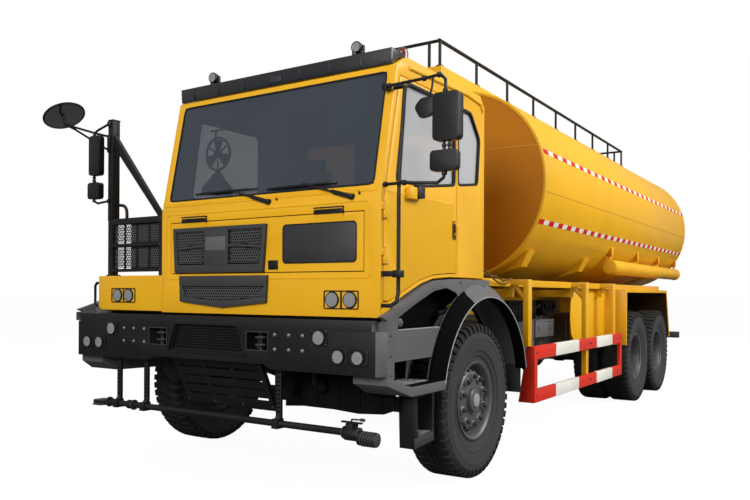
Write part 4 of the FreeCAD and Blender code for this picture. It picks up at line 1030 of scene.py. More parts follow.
    # moulded ribs in a clear lens
    clear_rib = Surface("lens_rib", "#84878a", roughness=0.25, coat=0.4, skin_mm=5, skin=0.2, drift=0.05)
    # expanded metal and perforated sheet under grey paint
    mesh = Surface(
        "perforated_sheet", "#4a4a4b", roughness=0.5, specular=0.35, skin_mm=3, skin=0.2, drift=0.08
    )
    # silvered bowl behind a lamp lens
    bowl = Surface(
        "lamp_reflector", "#3f4043", roughness=0.22, metallic=0.9, skin_mm=14, skin=0.3, drift=0.05
    )
    # mirror glass: reflects what stands in front of it
    silver = Surface(
        "mirror_glass", "#9fa4a8", roughness=0.06, metallic=1.0, skin_mm=60, skin=0.02, drift=0.03
    )
    # amber lens of the beacon: deep brown until light passes it
    amber = Surface("amber_lens", "#6a2f18", roughness=0.2, coat=0.6, skin_mm=6, skin=0.5, drift=0.08)
    # tinted windscreen: the cab shows through dark blue grey
    screen = Pane("tinted_windscreen", "#434c56", 0.6)
    # clear side glass: pale, with the far side showing through
    window = Pane("side_window", "#f6f8f9", 0.42)
    # clear lamp lens: a thin bright skin over the bowl
    lens = Pane("lamp_lens", "#d9dcdf", 0.25)


SLOT_FINISH: dict[str, Finish] = {
    "yellow_paint": Finishes.enamel, "black_paint": Finishes.powder, "chassis_paint": Finishes.chassis,
    "cast_steel": Finishes.casting, "grey_plastic": Finishes.moulding, "grille_plastic": Finishes.grille,
    "guard_paint": Finishes.red, "glass": Finishes.screen, "seat_fabric": Finishes.cloth,
    "dash_plastic": Finishes.black_plastic, "lamp_plastic": Finishes.black_plastic,
    "tyre_rubber": Finishes.rubber, "rim_paint": Finishes.rim,
}


# ---------------------------------------------------------------- stage
@dataclass
class Studio:
    """Pale floor, soft lights, world and the camera."""

    frame: Frame
    camera_mm: tuple[float, float, float] = (6054.0, 4567.5, 1634.0)
    heading_deg: float = 32.97
    roll_deg: float = 0.32
    lens_mm: float = 35.64
    rise: float = 0.0579
    floor_reach: float = 400.0
    floor_lit: float = 0.14
    floor_seen: float = 0.9
    floor_glow: float = 1.06
    world_light: float = 0.36

    def build(self) -> None:
        """Makes floor, world, lights and camera."""
        self._floor()
        self._world()
        self._lights()
        self._camera()

    def _floor(self) -> None:
        """A wide pale floor: it shows nearly white, keeps the shadow and throws little light up."""
        mesh = bpy.data.meshes.new("studio_floor")
        reach, dim, pale = self.floor_reach, self.floor_lit, self.floor_seen
        corners = [(-reach, -reach, 0), (reach, -reach, 0), (reach, reach, 0), (-reach, reach, 0)]
        mesh.from_pydata(corners, [], [(0, 1, 2, 3)])
        floor = linked("studio_floor", mesh)
        made, tree, inputs = new_material("studio_floor")
        seen = add_node(tree, "ShaderNodeLightPath").outputs["Is Camera Ray"]
        tree.links.new(blend(tree, seen, (dim, dim, dim, 1), (pale, pale, pale, 1)), inputs["Base Color"])
        inputs["Roughness"].default_value = 0.9
        inputs["Specular IOR Level"].default_value = 0.1
        lit = tree.nodes["Principled BSDF"].outputs[0]
        glow = add_node(
            tree, "ShaderNodeEmission", {"Color": (1, 1, 1, 1), "Strength": self.floor_glow}
        ).outputs[0]
        mix = add_node(tree, "ShaderNodeMixShader", {0: maths(tree, "MULTIPLY", seen, pale), 1: lit, 2: glow})
        tree.links.new(mix.outputs[0], tree.nodes["Material Output"].inputs["Surface"])
        mesh.materials.append(made)
        floor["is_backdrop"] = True

    def _world(self) -> None:
        """White behind the vehicle, and a dimmer even light from all round."""
        world = bpy.data.worlds.new("studio")
        bpy.context.scene.world = world
        world.use_nodes = True
        tree = world.node_tree
        background = tree.nodes["Background"]
        background.inputs["Color"].default_value = (1, 1, 1, 1)
        path = add_node(tree, "ShaderNodeLightPath").outputs
        seen = maths(tree, "MAXIMUM", path["Is Camera Ray"], path["Is Transmission Ray"])
        tree.links.new(spread(tree, seen, (0.0, 1.0), (self.world_light, 1.0)), background.inputs["Strength"])

    def _lights(self) -> None:
        """Large soft lights: high on the vehicle's left, in front, and overhead."""
        for name, spot, aim, size, power in (
            ("key_left", (-1.0, 12.0, 9.0), (-1.0, 1.0, 1.8), (9.0, 6.0), 1950.0),
            ("front", (16.0, 3.0, 6.0), (4.5, 0.4, 2.0), (6.0, 5.0), 1000.0),
            ("overhead", (0.0, 0.0, 14.0), (0.0, 0.0, 0.0), (14.0, 6.0), 500.0),
            ("far_side", (-2.0, -14.0, 6.0), (0.0, -1.0, 2.0), (8.0, 5.0), 300.0),
        ):
            lamp = bpy.data.lights.new(name, "AREA")
            lamp.shape, lamp.size, lamp.size_y, lamp.energy = "RECTANGLE", size[0], size[1], power
            holder = linked(name, lamp)
            holder.location = spot
            holder.rotation_euler = (Vector(aim) - Vector(spot)).to_track_quat("-Z", "Y").to_euler()

    def _camera(self) -> None:
        """The camera, level but for a slight roll, looking back along the vehicle from its left front."""
        data = bpy.data.cameras.new("camera")
        data.sensor_width, data.lens, data.shift_y = 36.0, self.lens_mm, self.rise
        data.clip_end = 1000.0
        camera = linked("camera", data)
        heading, roll = math.radians(self.heading_deg), math.radians(self.roll_deg)
        look = Vector((-math.cos(heading), -math.sin(heading), 0))
        side = Vector((-math.sin(heading), math.cos(heading), 0))
        right = side * math.cos(roll) + Vector((0, 0, 1)) * math.sin(roll)
        over = right.cross(look)
        turn = Matrix((right, over, -look)).transposed().to_4x4()
        camera.matrix_world = Matrix.Translation(self.frame.place(*self.camera_mm)) @ turn
        bpy.context.scene.camera = camera
        bpy.context.scene.view_settings.view_transform = "Standard"


# ---------------------------------------------------------------- shared details
def ring(centre: Point, radius: float, count: int = 24) -> Outline:
    """A circle's points, anticlockwise."""
    return squircle(centre, (radius, radius), 2.0, count)


def squircle(centre: Point, half: Point, power: float = 7.0, count: int = 24) -> Outline:
    """A rectangle with round corners whose points stand at even angles, to pair with a ring's.

    Args:
        centre: its middle.
        half: half its width and height.
        power: 2 gives an ellipse, more gives squarer corners.
        count: how many points.

    Returns:
        The outline, anticlockwise.
    """
    points: Outline = []
    for i in range(count):
        angle = math.tau * i / count
        c, s = math.cos(angle), math.sin(angle)
        reach = (abs(c) ** power + abs(s) ** power) ** (-1 / power)
        points.append((centre[0] + half[0] * c * reach, centre[1] + half[1] * s * reach))
    return points


def inside(point: Point, outline: Sequence[Point], margin: float = 0.0) -> bool:
    """Whether a point lies in a convex anticlockwise outline and further than a margin from its runs."""
    for a, b in zip(outline, [*outline[1:], outline[0]]):
        length = math.hypot(b[0] - a[0], b[1] - a[1])
        if ((b[0] - a[0]) * (point[1] - a[1]) - (b[1] - a[1]) * (point[0] - a[0])) / length < margin:
            return False
    return True


def pierced(
    shape: Shape, place: Callable[[float, float, float], Point], us: Point, vs: Point, holes: set,
    thick: float,
) -> Shape:
    """Adds a sheet with rectangular holes as one closed skin.

    Args:
        shape: the shape to add to.
        place: turns a spot on the sheet (u, v) and a depth below its face into a point.
        us: the grid's lines along u.
        vs: the grid's lines along v.
        holes: the (column, row) of each open cell.
        thick: the sheet's thickness.

    Returns:
        The shape.
    """
    made: dict = {}

    def vert(i: int, j: int, k: int):
        """The vertex at a grid crossing, on the face or under it."""
        if (i, j, k) not in made:
            made[i, j, k] = shape.bm.verts.new(place(us[i], vs[j], thick * k))
        return made[i, j, k]

    def full(i: int, j: int) -> bool:
        """Whether there is sheet in a cell."""
        return 0 <= i < len(us) - 1 and 0 <= j < len(vs) - 1 and (i, j) not in holes

    for i in range(len(us) - 1):
        for j in range(len(vs) - 1):
            if not full(i, j):
                continue
            corners = [(i, j), (i + 1, j), (i + 1, j + 1), (i, j + 1)]
            for k in (0, 1):
                shape.bm.faces.new([vert(a, b, k) for a, b in corners])
            for (di, dj), (p, q) in zip(
                ((0, -1), (1, 0), (0, 1), (-1, 0)), zip(corners, [*corners[1:], corners[0]])
            ):
                if not full(i + di, j + dj):
                    shape.bm.faces.new([vert(*p, 0), vert(*q, 0), vert(*q, 1), vert(*p, 1)])
    return shape


@dataclass(frozen=True)
class Mesh(Work):
    """Perforated sheet: hexagonal cells set side by side inside an outline across the vehicle."""

    repeat: Repeat
    pitch: float = 26.0
    web: float = 5.0

    def cell(self, wall: float = 4.0) -> Shape:
        """One hexagon of sheet with its hole."""
        reach = self.pitch / math.sqrt(3)
        angles = [math.radians(30 + 60 * i) for i in range(6)]
        outer = [(reach * math.cos(a), reach * math.sin(a)) for a in angles]
        inner = [
            (p[0] * (1 - 2 * self.web / self.pitch), p[1] * (1 - 2 * self.web / self.pitch))
            for p in outer
        ]
        return self.shape().rim("yz", outer, inner, -wall / 2, wall / 2)

    def fill(
        self,
        name: str,
        outline: Sequence[Point],
        x: float,
        finish: Finish,
        body: str = "chassis",
        skip: Callable[[float, float], bool] | None = None,
        margin: float = 4.0,
    ) -> bpy.types.Object:
        """Fills a convex outline in y and z with cells.

        Args:
            name: the piece's name.
            outline: the outline, anticlockwise.
            x: where the sheet stands.
            finish: its finish.
            body: the body it moves with.
            skip: says where no cell goes.
            margin: how far a cell's middle keeps from the outline.

        Returns:
            The piece's object.
        """
        low = [min(p[i] for p in outline) for i in (0, 1)]
        high = [max(p[i] for p in outline) for i in (0, 1)]
        row_height = self.pitch * math.sqrt(3) / 2
        spots = []
        for row in range(int((high[1] - low[1]) / row_height) + 1):
            for column in range(int((high[0] - low[0]) / self.pitch) + 1):
                y = low[0] + self.pitch * (column + 0.5 * (row % 2))
                z = low[1] + row_height * row
                if inside((y, z), outline, margin) and not (skip and skip(y, z)):
                    spots.append((x, y, z))
        return self.repeat.spots(name, self.cell(), spots, finish, body)


@dataclass(frozen=True)
class Lamp:
    """A round lamp that faces forward: where its ring stands, its size and the ribs of its lens."""

    x: float
    y: float
    z: float
    radius: float
    ribbed: bool = True


@dataclass(frozen=True)
class Lamps(Work):
    """All lamps: rings, bowls, ribbed lenses and bezels; roof lamps and beacon."""

    face: float = 1560.0
    bumper: float = 1620.0
    single: Point = (1198.0, 1300.0)
    twins_y: Point = (1376.0, 1550.0)
    twins_z: float = 1166.0
    roof_y: Point = (-245.0, 1300.0)
    roof_z: float = 3545.0
    beacon: Point = (1090.0, 1590.0, 3425.0)

    def build(self) -> None:
        """Makes the lamps of the bumper, cab, deck box and roof."""
        round_ones = [Lamp(self.bumper + 9, self.single[0] * s, self.single[1], 54) for s in (1, -1)]
        round_ones += [
            Lamp(self.bumper + 8, y * s, self.twins_z, 50, ribbed=y < 1500)
            for s in (1, -1)
            for y in self.twins_y
        ]
        round_ones += [
            Lamp(self.face + 2, y, z, 56)
            for y, z in ((1272, 1585), (1434, 1585), (-1196, 1604), (-1042, 1604))
        ]
        round_ones += [Lamp(1302, y, self.roof_z, 40, ribbed=False) for y in self.roof_y]
        self._lamps("forward_lamps", round_ones)
        self._bezels()
        self._roof()

    def _lamps(self, name: str, lamps: Sequence[Lamp]) -> None:
        """Makes ring, bowl, bulb, ribs and lens of each lamp."""
        rings, bowls, ribs, lenses = (self.shape() for _ in range(4))
        for lamp in lamps:
            r, centre, ahead = lamp.radius, (lamp.x, lamp.y, lamp.z), (1, 0, 0)
            rings.lathe(
                [(-2, r - 3), (10, r - 3), (12, r), (11, r + 4), (6, r + 6), (-2, r + 6)],
                centre,
                ahead,
                32,
                True,
            )
            bowls.lathe(
                [
                    (-1, 0), (-1, r * 0.3), (2, r * 0.62), (6, r - 3), (7, r - 3), (7, r - 2.6),
                    (-2, r - 2.6), (-2, 0),
                ],
                centre,
                ahead,
                32,
            )
            bowls.lathe([(0, 0), (0, r * 0.2), (6, r * 0.17), (8, 0)], centre, ahead, 14)
            count = 5 if lamp.ribbed else 0
            for i in range(count):
                off = (i - (count - 1) / 2) * r * 0.34
                half = math.sqrt(max(0.0, (r - 7) ** 2 - off * off))
                ribs.box(
                    (lamp.x + 7.4, lamp.x + 9.4),
                    (lamp.y + off - 1.6, lamp.y + off + 1.6),
                    (lamp.z - half, lamp.z + half),
                )
            if not lamp.ribbed:
                ribs.lathe(
                    [(7.4, r * 0.58), (9, r * 0.58), (9, r * 0.66), (7.4, r * 0.66)],
                    centre,
                    ahead,
                    28,
                    True,
                )
            lenses.lathe(
                [(9.6, 0), (9.6, r - 3.2), (10.4, r - 3.2), (12.6, r * 0.6), (13.4, 0)], centre, ahead, 32
            )
        rings.piece(f"{name}_rings", Finishes.black_plastic, node="lamps")
        bowls.piece(f"{name}_bowls", Finishes.bowl)
        ribs.piece(f"{name}_lens_ribs", Finishes.clear_rib)
        lenses.piece(f"{name}_lenses", Finishes.lens)

    def _bezels(self) -> None:
        """Makes the bumper's square bezels and pods, and the frames round the head lamps."""
        shape = self.shape()
        screws = self.shape()
        for s in (1, -1):
            y, z = self.single[0] * s, self.single[1]
            low, high = self.bumper - 1, self.bumper + 9
            shape.rim("yz", squircle((y, z), (78, 63), 9), ring((y, z), 59), low, high)
            for dy in (-66, 66):
                for dz in (-51, 51):
                    screws.lathe([(0, 0), (0, 5), (1.6, 4), (2.4, 0)], (high, y + dy, z + dz), (1, 0, 0), 8)
            for lamp_y in self.twins_y:
                edge = -3 if lamp_y < 1500 else 3
                middle = (lamp_y + edge) * s
                outer = squircle((middle, self.twins_z), (86, 63), 9)
                shape.rim("yz", outer, ring((lamp_y * s, self.twins_z), 55), low, high - 1)
        for (y0, y1), (z0, z1) in (((1193, 1512), (1515, 1655)), ((-1285, -952), (1537, 1671))):
            outer = round_rect((y0, y1), (z0, z1), 14)
            shape.rim("yz", outer, inset(outer, 9), self.face - 1, self.face + 8)
            middle = (y0 + y1) / 2
            shape.box((self.face - 1, self.face + 3), (middle - 9, middle + 9), (z0 + 8, z1 - 8))
        shape.piece("lamp_bezels", Finishes.black_plastic, ease=2)
        screws.piece("lamp_bezel_screws", Finishes.zinc)

    def _roof(self) -> None:
        """Makes the barrels and stalks of the roof lamps, and the beacon."""
        shape = self.shape()
        for y in self.roof_y:
            barrel = [(-62, 0), (-60, 18), (-50, 33), (-30, 42), (0, 46), (8, 46), (8, 40), (-2, 40), (-2, 0)]
            shape.lathe(barrel, (1300, y, self.roof_z), (1, 0, 0), 28)
            shape.rim(
                "yz",
                [(y - 54, 3500), (y + 54, 3500), (y + 54, 3560), (y - 54, 3560)],
                [(y - 49, 3506), (y + 49, 3506), (y + 49, 3560.5), (y - 49, 3560.5)],
                1262,
                1284,
            )
            shape.box((1258, 1288), (y - 10, y + 10), (3469, 3502))
            shape.box((1240, 1300), (y - 34, y + 34), (3469, 3476))
        shape.lathe([(0, 0), (0, 62), (10, 62), (14, 52), (30, 50), (30, 0)], self.beacon, (0, 0, 1), 28)
        shape.piece("roof_lamp_barrels", Finishes.black_plastic, ease=1.5)
        dome = [(30, 0), (30, 45), (100, 43), (114, 36), (122, 22), (125, 0)]
        beacon = self.shape().lathe(dome, self.beacon, (0, 0, 1), 32)
        for level in (46, 62, 78):
            beacon.lathe(band(level, level + 7, 44, 46.5), self.beacon, (0, 0, 1), 32, True)
        beacon.piece("roof_beacon", Finishes.amber)


# ---------------------------------------------------------------- wheels
@dataclass(frozen=True)
class Wheels(Work):
    """Tyres with block tread and rims with their hubs, clamps and nuts."""

    repeat: Repeat
    radius: float = 685.0
    floor: float = 667.0
    pitches: int = 50
    twin: float = 440.0
    studs: int = 10
    stud_circle: float = 214.0

    def build(self) -> None:
        """Makes the two front wheels and the four pairs of twins."""
        for side in Side:
            low, high = self.frame.span(f"front_{side.word}_tyre")
            middle = (low.y + high.y) / 2
            centre = (0, middle, self.frame.wheel_z)
            body = f"front_wheel_{side.word}"
            self._tyres(f"front_{side.word}_tyre", [centre], side, body)
            self._front_rim(f"front_{side.word}_rim", centre, side, body)
        for axle in ("rear_1", "rear_2"):
            for side in Side:
                low, high = self.frame.span(f"{axle}_{side.word}_tyres")
                x, middle = (low.x + high.x) / 2, (low.y + high.y) / 2
                body = f"{axle}_wheels_{side.word}"
                pair = [
                    (x, middle + way * self.twin / 2, self.frame.wheel_z)
                    for way in (side.value, -side.value)
                ]
                self._tyres(f"{axle}_{side.word}_tyres", pair, side, body)
                self._rear_rims(f"{axle}_{side.word}_rims", (x, middle, self.frame.wheel_z), side, body)

    @staticmethod
    def _carcass() -> Outline:
        """Closed tyre section: tread floor, shoulders, bulged sidewalls with moulded rings, and beads."""
        half = [
            (140, 665), (158, 654), (170, 636), (179, 612), (184, 588), (185, 566), (188, 562), (188, 556),
            (185, 552), (181, 505), (173, 458), (175.5, 454), (175, 448), (168, 444), (158, 410),
            (160, 405), (157, 399), (149, 393), (144, 374), (147, 368), (145, 352), (137, 345), (131, 322),
        ]
        return [(0, 667), *half, *[(-y, r) for y, r in reversed(half)]]

    def _tread_cell(self, side: Side) -> Shape:
        """One pitch of the tread: a lug over each shoulder and a slanted block each side of the middle."""
        pitch = math.tau * self.radius / self.pitches
        top, low = self.radius, self.floor - 2
        lug = [
            (60, low), (60, top), (150, top - 1), (170, top - 11), (183, top - 36), (188, top - 74),
            (180, top - 80), (150, low - 14),
        ]
        block = band(4, 51, low, top)
        cell = self.shape()
        for way, ahead in ((side.value, 0.0), (-side.value, 0.5)):
            for section, reach, lean in ((lug, 0.32, 10), (block, 0.36, -22)):
                rings = []
                for end in (-1, 1):
                    ring = []
                    for y, r in section:
                        along = pitch * (ahead + end * reach) + lean * (60 - min(y, 60)) / 60 * way
                        angle = along / self.radius
                        ring.append((r * math.sin(angle), way * y, r * math.cos(angle)))
                    rings.append(ring)
                cell.loft(rings)
        return cell

    def _tyres(self, node: str, centres: list[tuple[float, float, float]], side: Side, body: str) -> None:
        """Makes the tyres of one node with their tread."""
        shape = self.shape()
        for centre in centres:
            shape.lathe(self._carcass(), centre, (0, side.value, 0), 80, closed=True)
        shape.piece(f"{node}_carcass", Finishes.rubber, body, node)
        # the tread lugs take the grey rubber: wear and painted highlight
        for number, centre in enumerate(centres, 1):
            self.repeat.round(
                f"{node}_tread_{number}", self._tread_cell(side), centre, self.pitches,
                Finishes.worn_rubber, body,
            )

    def _front_rim(self, node: str, centre: Point, side: Side, body: str) -> None:
        """Makes a front rim: rolled lip, dished disc with hand holes, clamps, nuts and a hub cap."""
        section = [
            (163, 0), (163, 62), (160, 68), (157, 98), (149, 106), (124, 112), (118, 138), (118, 238),
            (115, 249), (103, 264), (84, 278), (72, 287), (74, 296), (86, 301), (110, 306), (140, 317),
            (152, 328), (158, 341), (157, 350), (150, 353), (138, 344), (134, 324), (-134, 324),
            (-138, 344), (-150, 352), (-157, 347), (-150, 330), (-120, 306), (40, 300), (50, 288),
            (62, 270), (88, 250), (98, 238), (98, 180), (40, 170), (-60, 165), (-60, 72), (82, 72),
            (82, 0),
        ]
        shape = self.shape().lathe(section, centre, (0, side.value, 0), 72)
        shape.piece(f"{node}_pressing", Finishes.rim, body, node, flat=24)
        self._fasteners(node, centre, side, body, 118)
        way = side.value
        # the rim's hand holes are dark discs of painted shade
        hole = self.shape().lathe(band(-3, 2.5, 0, 17), (0, 0, 0), (0, 0.62 * way, 0.78), 14)
        hole.move((0, 98 * way, 268))
        self.repeat.round(f"{node}_hand_holes", hole, centre, 20, Finishes.hollow, body, phase=9)
        x, y, z = centre
        cap = self.shape().lathe(
            [(0, 0), (0, 60), (6, 58), (9, 46), (9, 0)], (x, y + way * 162, z), (0, way, 0), 36
        )
        cap.piece(f"{node}_hub_cap", Finishes.clamp, body)

    def _rear_rims(self, node: str, centre: Point, side: Side, body: str) -> None:
        """Makes a pair of rear rims on one hub: a deep dish outside."""
        section = [
            (188, 0), (188, 58), (184, 78), (174, 90), (64, 126), (60, 168), (22, 186), (20, 294),
            (34, 300), (290, 304), (332, 316), (352, 329), (363, 341), (362, 350), (355, 353), (343, 344),
            (338, 324), (-338, 324), (-343, 344), (-355, 352), (-362, 347), (-352, 330), (-320, 306),
            (-24, 300), (-22, 190), (-60, 172), (-248, 170), (-248, 72), (150, 72), (150, 0),
        ]
        shape = self.shape().lathe(section, centre, (0, side.value, 0), 72)
        shape.piece(f"{node}_pressing", Finishes.rim, body, node, flat=24)
        self._fasteners(node, centre, side, body, 20)

    def _fasteners(self, node: str, centre: Point, side: Side, body: str, face: float) -> None:
        """Makes the clamps round a disc and the nuts on them."""
        way, r = side.value, self.stud_circle
        clamp = self.shape().loft([
            [
                (-30, y * way, r - 24), (30, y * way, r - 24), (34, y * way, r + 14),
                (20, y * way, r + 28), (-20, y * way, r + 28), (-34, y * way, r + 14),
            ]
            for y in (face - 2, face + 17)
        ])
        self.repeat.round(f"{node}_clamps", clamp, centre, self.studs, Finishes.clamp, body)
        nut = self.shape()
        nut.lathe(knob(25, 21, 25, 21), (0, (face + 16) * way, r), (0, way, 0), 6)
        nut.lathe(knob(11, 12, 14, 9), (0, (face + 40) * way, r), (0, way, 0), 10)
        self.repeat.round(f"{node}_nuts", nut, centre, self.studs, Finishes.casting, body)


# ---------------------------------------------------------------- bumper, grilles and what hangs in front
@dataclass(frozen=True)
class FrontEnd(Work):
    """Bumper with bolts, towing pockets and mesh, the grilles, the skid plate and the spray pipe."""

    repeat: Repeat
    mesh: Mesh
    face: float = 1620.0
    pipe_x: float = 1580.0
    pipe_z: float = 610.0
    lug_y: float = 577.5

    def build(self) -> None:
        """Makes all pieces of the front end."""
        self._bumper()
        self._lower_grille()
        self._lid_grille()
        self._skid_plate()
        self._spray_bar()

    def _bumper(self) -> None:
        """Rounds the bumper and adds bolts, towing lugs, its mesh and what lies behind it."""
        self.soften(
            "front_bumper",
            Finishes.moulding,
            ease=5,
            lining=Finishes.powder,
            lined=lambda middle, normal: abs(middle.y) < 1500 or abs(normal.y) < 0.2,
        )
        bolt = self.shape()
        bolt.lathe([(0, 0), (0, 17), (2, 17), (3, 14), (7, 12), (11, 7), (12, 0)], (0, 0, 0), (1, 0, 0), 14)
        spots = [(self.face, y * s, z) for s in (1, -1) for y in (760, 900, 1034) for z in (1192, 1307)]
        self.repeat.spots("bumper_bolts", bolt, spots, Finishes.zinc)
        lugs = self.shape()
        for s in (1, -1):
            middle = self.lug_y * s
            for z in (1212, 1272):
                nose = [
                    (1492, middle - 52), (1585, middle - 52), (1608, middle - 30), (1612, middle),
                    (1608, middle + 30), (1585, middle + 52), (1492, middle + 52),
                ]
                lugs.prism("xy", nose, z, z + 16)
            lugs.lathe(knob(34, 8, 10, 24), (1565, middle, 1310), (0, 0, 1), 18)
            lugs.tube([(1565, middle, 1300), (1565, middle, 1345), (1600, middle + 30, 1345)], 5, 16, 8)
            frame_out = round_rect((middle - 119, middle + 119), (1171, 1329), 16)
            lugs.rim("yz", frame_out, inset(frame_out, 9), self.face - 2, self.face + 5)
        lugs.piece("towing_lugs", Finishes.chassis, ease=2)
        outer = [(-452, 1124), (452, 1124), (362, 1366), (-362, 1366)]
        self.mesh.fill("bumper_mesh", outer, 1592, Finishes.black_plastic, margin=16)
        border = eased([(-470, 1118), (470, 1118), (378, 1372), (340, 1396), (-340, 1396), (-378, 1372)], 22)
        frame = self.shape().rim("yz", border, inset(border, 20), self.face - 10, self.face + 8)
        frame.rim("yz", inset(border, 18), inset(border, 34), self.face - 34, self.face - 14)
        frame.piece("bumper_grille_moulding", Finishes.black_plastic, ease=4)
        # dark sheets of painted shade behind the bumper and lower grille meshes
        back = self.shape().prism("yz", [(-446, 1131), (446, 1131), (350, 1362), (-350, 1362)], 1562, 1578)
        back.prism("yz", [(-342, 1562), (146, 1516), (630, 1562), (640, 1770), (-346, 1770)], 1560.5, 1564)
        back.piece("grille_backs", Finishes.hollow, node="front_grilles")
        # a near-black panel behind the front axle: painted shade under the cab
        panel = self.shape().prism(
            "yz",
            [
                (566, 690), (760, 706), (1064, 704), (1300, 690), (1535, 706), (1640, 745), (1640, 1040),
                (566, 1040),
            ],
            1236,
            1250,
        )
        for y in (700, 905, 1110, 1315, 1520):
            panel.box((1250, 1262), (y - 9, y + 9), (740, 1030))
        panel.box((1250, 1340), (640, 730), (820, 1040))
        panel.lathe(knob(44, 60, 70, 30), (1250, 980, 880), (1, 0, 0), 24)
        panel.piece("axle_splash_panel", Finishes.sooty, ease=4)
        # a dark block of painted shade in the gap over the bumper
        gap = self.shape().box((1440, 1556), (-640, 1690), (1430, 1461))
        gap.piece("gap_over_bumper", Finishes.hollow)
        bracket = self.shape().box((1500, 1612), (-1746, -1600), (1435, 1441))
        bracket.box((1500, 1612), (-1750, -1742), (1360, 1441)).piece(
            "bumper_corner_plate", Finishes.moulding, ease=2
        )

    def _lower_grille(self) -> None:
        """Makes the grille under the lid: a plain band, a perforated band and a V-shaped foot."""
        shape = self.shape()
        shape.prism("yz", [(-349, 1687), (641, 1687), (646, 1775), (-352, 1775)], 1562, 1590)
        shape.prism(
            "yz",
            [
                (-344, 1556), (146, 1510), (632, 1556), (634, 1594), (560, 1594), (146, 1562),
                (-270, 1594), (-346, 1594),
            ],
            1562,
            1590,
        )
        shape.prism("yz", [(-346, 1590), (-268, 1590), (-318, 1692), (-349, 1692)], 1562, 1588)
        shape.prism("yz", [(634, 1590), (641, 1692), (612, 1692), (558, 1590)], 1562, 1588)
        shape.piece("lower_grille_frame", Finishes.grille, ease=4)
        self.mesh.fill(
            "lower_grille_mesh",
            [(-275, 1588), (146, 1556), (565, 1588), (618, 1695), (-325, 1695)],
            1574,
            Finishes.mesh,
            margin=7,
        )

    def _lid_grille(self) -> None:
        """Makes the lid's grille: border, four perforated windows, a bowed bar and a blank upright."""
        body = "service_lid"
        outer = [(-408, 1801), (604, 1801), (633, 2185), (-430, 2185)]
        inner = [(-372, 1868), (568, 1868), (592, 2150), (-390, 2150)]
        # a dark sheet of painted shade behind the lid grille's mesh
        back = self.shape().prism("yz", inset(outer, 6), 1560.5, 1564)
        back.piece("lid_grille_back", Finishes.hollow, body, "lid_grille")
        shape = self.shape().rim("yz", outer, inner, 1562, 1590)
        rings = []
        for i in range(13):
            y = -386 + 970 * i / 12
            z = 2003 + 22 * (1 - ((y - 90) / 480) ** 2)
            rings.append([
                (1566, y, z - 12), (1588, y, z - 12), (1592, y, z - 6), (1592, y, z + 6),
                (1588, y, z + 12), (1566, y, z + 12),
            ])
        shape.loft(rings)
        shape.piece("lid_grille_frame", Finishes.grille, body, ease=4)
        plate = self.shape().prism("yz", round_rect((-51, 226), (1864, 2156), 14), 1564, 1593)
        plate.piece("lid_grille_upright", Finishes.grille, body, ease=4)
        blank = self.shape().prism("yz", round_rect((-26, 201), (1985, 2100), 12), 1592, 1595.5)
        blank.piece("lid_grille_blank", Finishes.moulding, body, ease=1)
        self.mesh.fill(
            "lid_grille_mesh",
            inner,
            1576,
            Finishes.mesh,
            body,
            margin=2,
            skip=lambda y, z: -66 < y < 241 or abs(z - 2003 - 22 * (1 - ((y - 90) / 480) ** 2)) < 12,
        )

    def _skid_plate(self) -> None:
        """Makes the slotted plate under the bumper, with turned side edges."""
        foot, head = Vector((1306, 0, 645)), Vector((1514, 0, 1068))
        way = (head - foot).normalized()
        out = Vector((way.z, 0, -way.x))

        def place(u: float, v: float, t: float) -> Point:
            """A point on the plate from its width, its height and a depth behind its face."""
            p = foot + way * v - out * t
            return (p.x, u, p.z)

        length = (head - foot).length
        us = [-520, -470, -190, -140, 140, 190, 470, 520]
        vs = [0]
        for row in range(4):
            low = 96 + row * 92
            vs += [low, low + 24]
        vs.append(length)
        holes = {(i, j) for i in (1, 3, 5) for j in (1, 3, 5, 7)}
        shape = pierced(self.shape(), place, us, vs, holes, 9)
        for u in (-520, 511):
            shape.loft([
                [place(a, v, t) for a, t in ((u, 0), (u + 9, 0), (u + 9, 34), (u, 34))]
                for v in (0, length)
            ])
        shape.loft([[place(u, v, t) for v, t in ((0, 0), (0, 34), (9, 34), (9, 0))] for u in (-520, 520)])
        for u in (-165, 165):
            shape.loft([
                [place(a, v, t) for a, t in ((u - 5, 8), (u + 5, 8), (u + 5, 30), (u - 5, 30))]
                for v in (12, length - 12)
            ])
        shape.piece("slotted_skid_plate", Finishes.powder, node="skid_plate", ease=1.5)
        bolt = self.shape().lathe(knob(13, 7, 9, 10), (0, 0, 0), tuple(out), 6)
        spots = [place(u, v, 0) for u in (-495, -165, 165, 495) for v in (40, length - 30)]
        self.repeat.spots("skid_plate_bolts", bolt, spots, Finishes.casting)

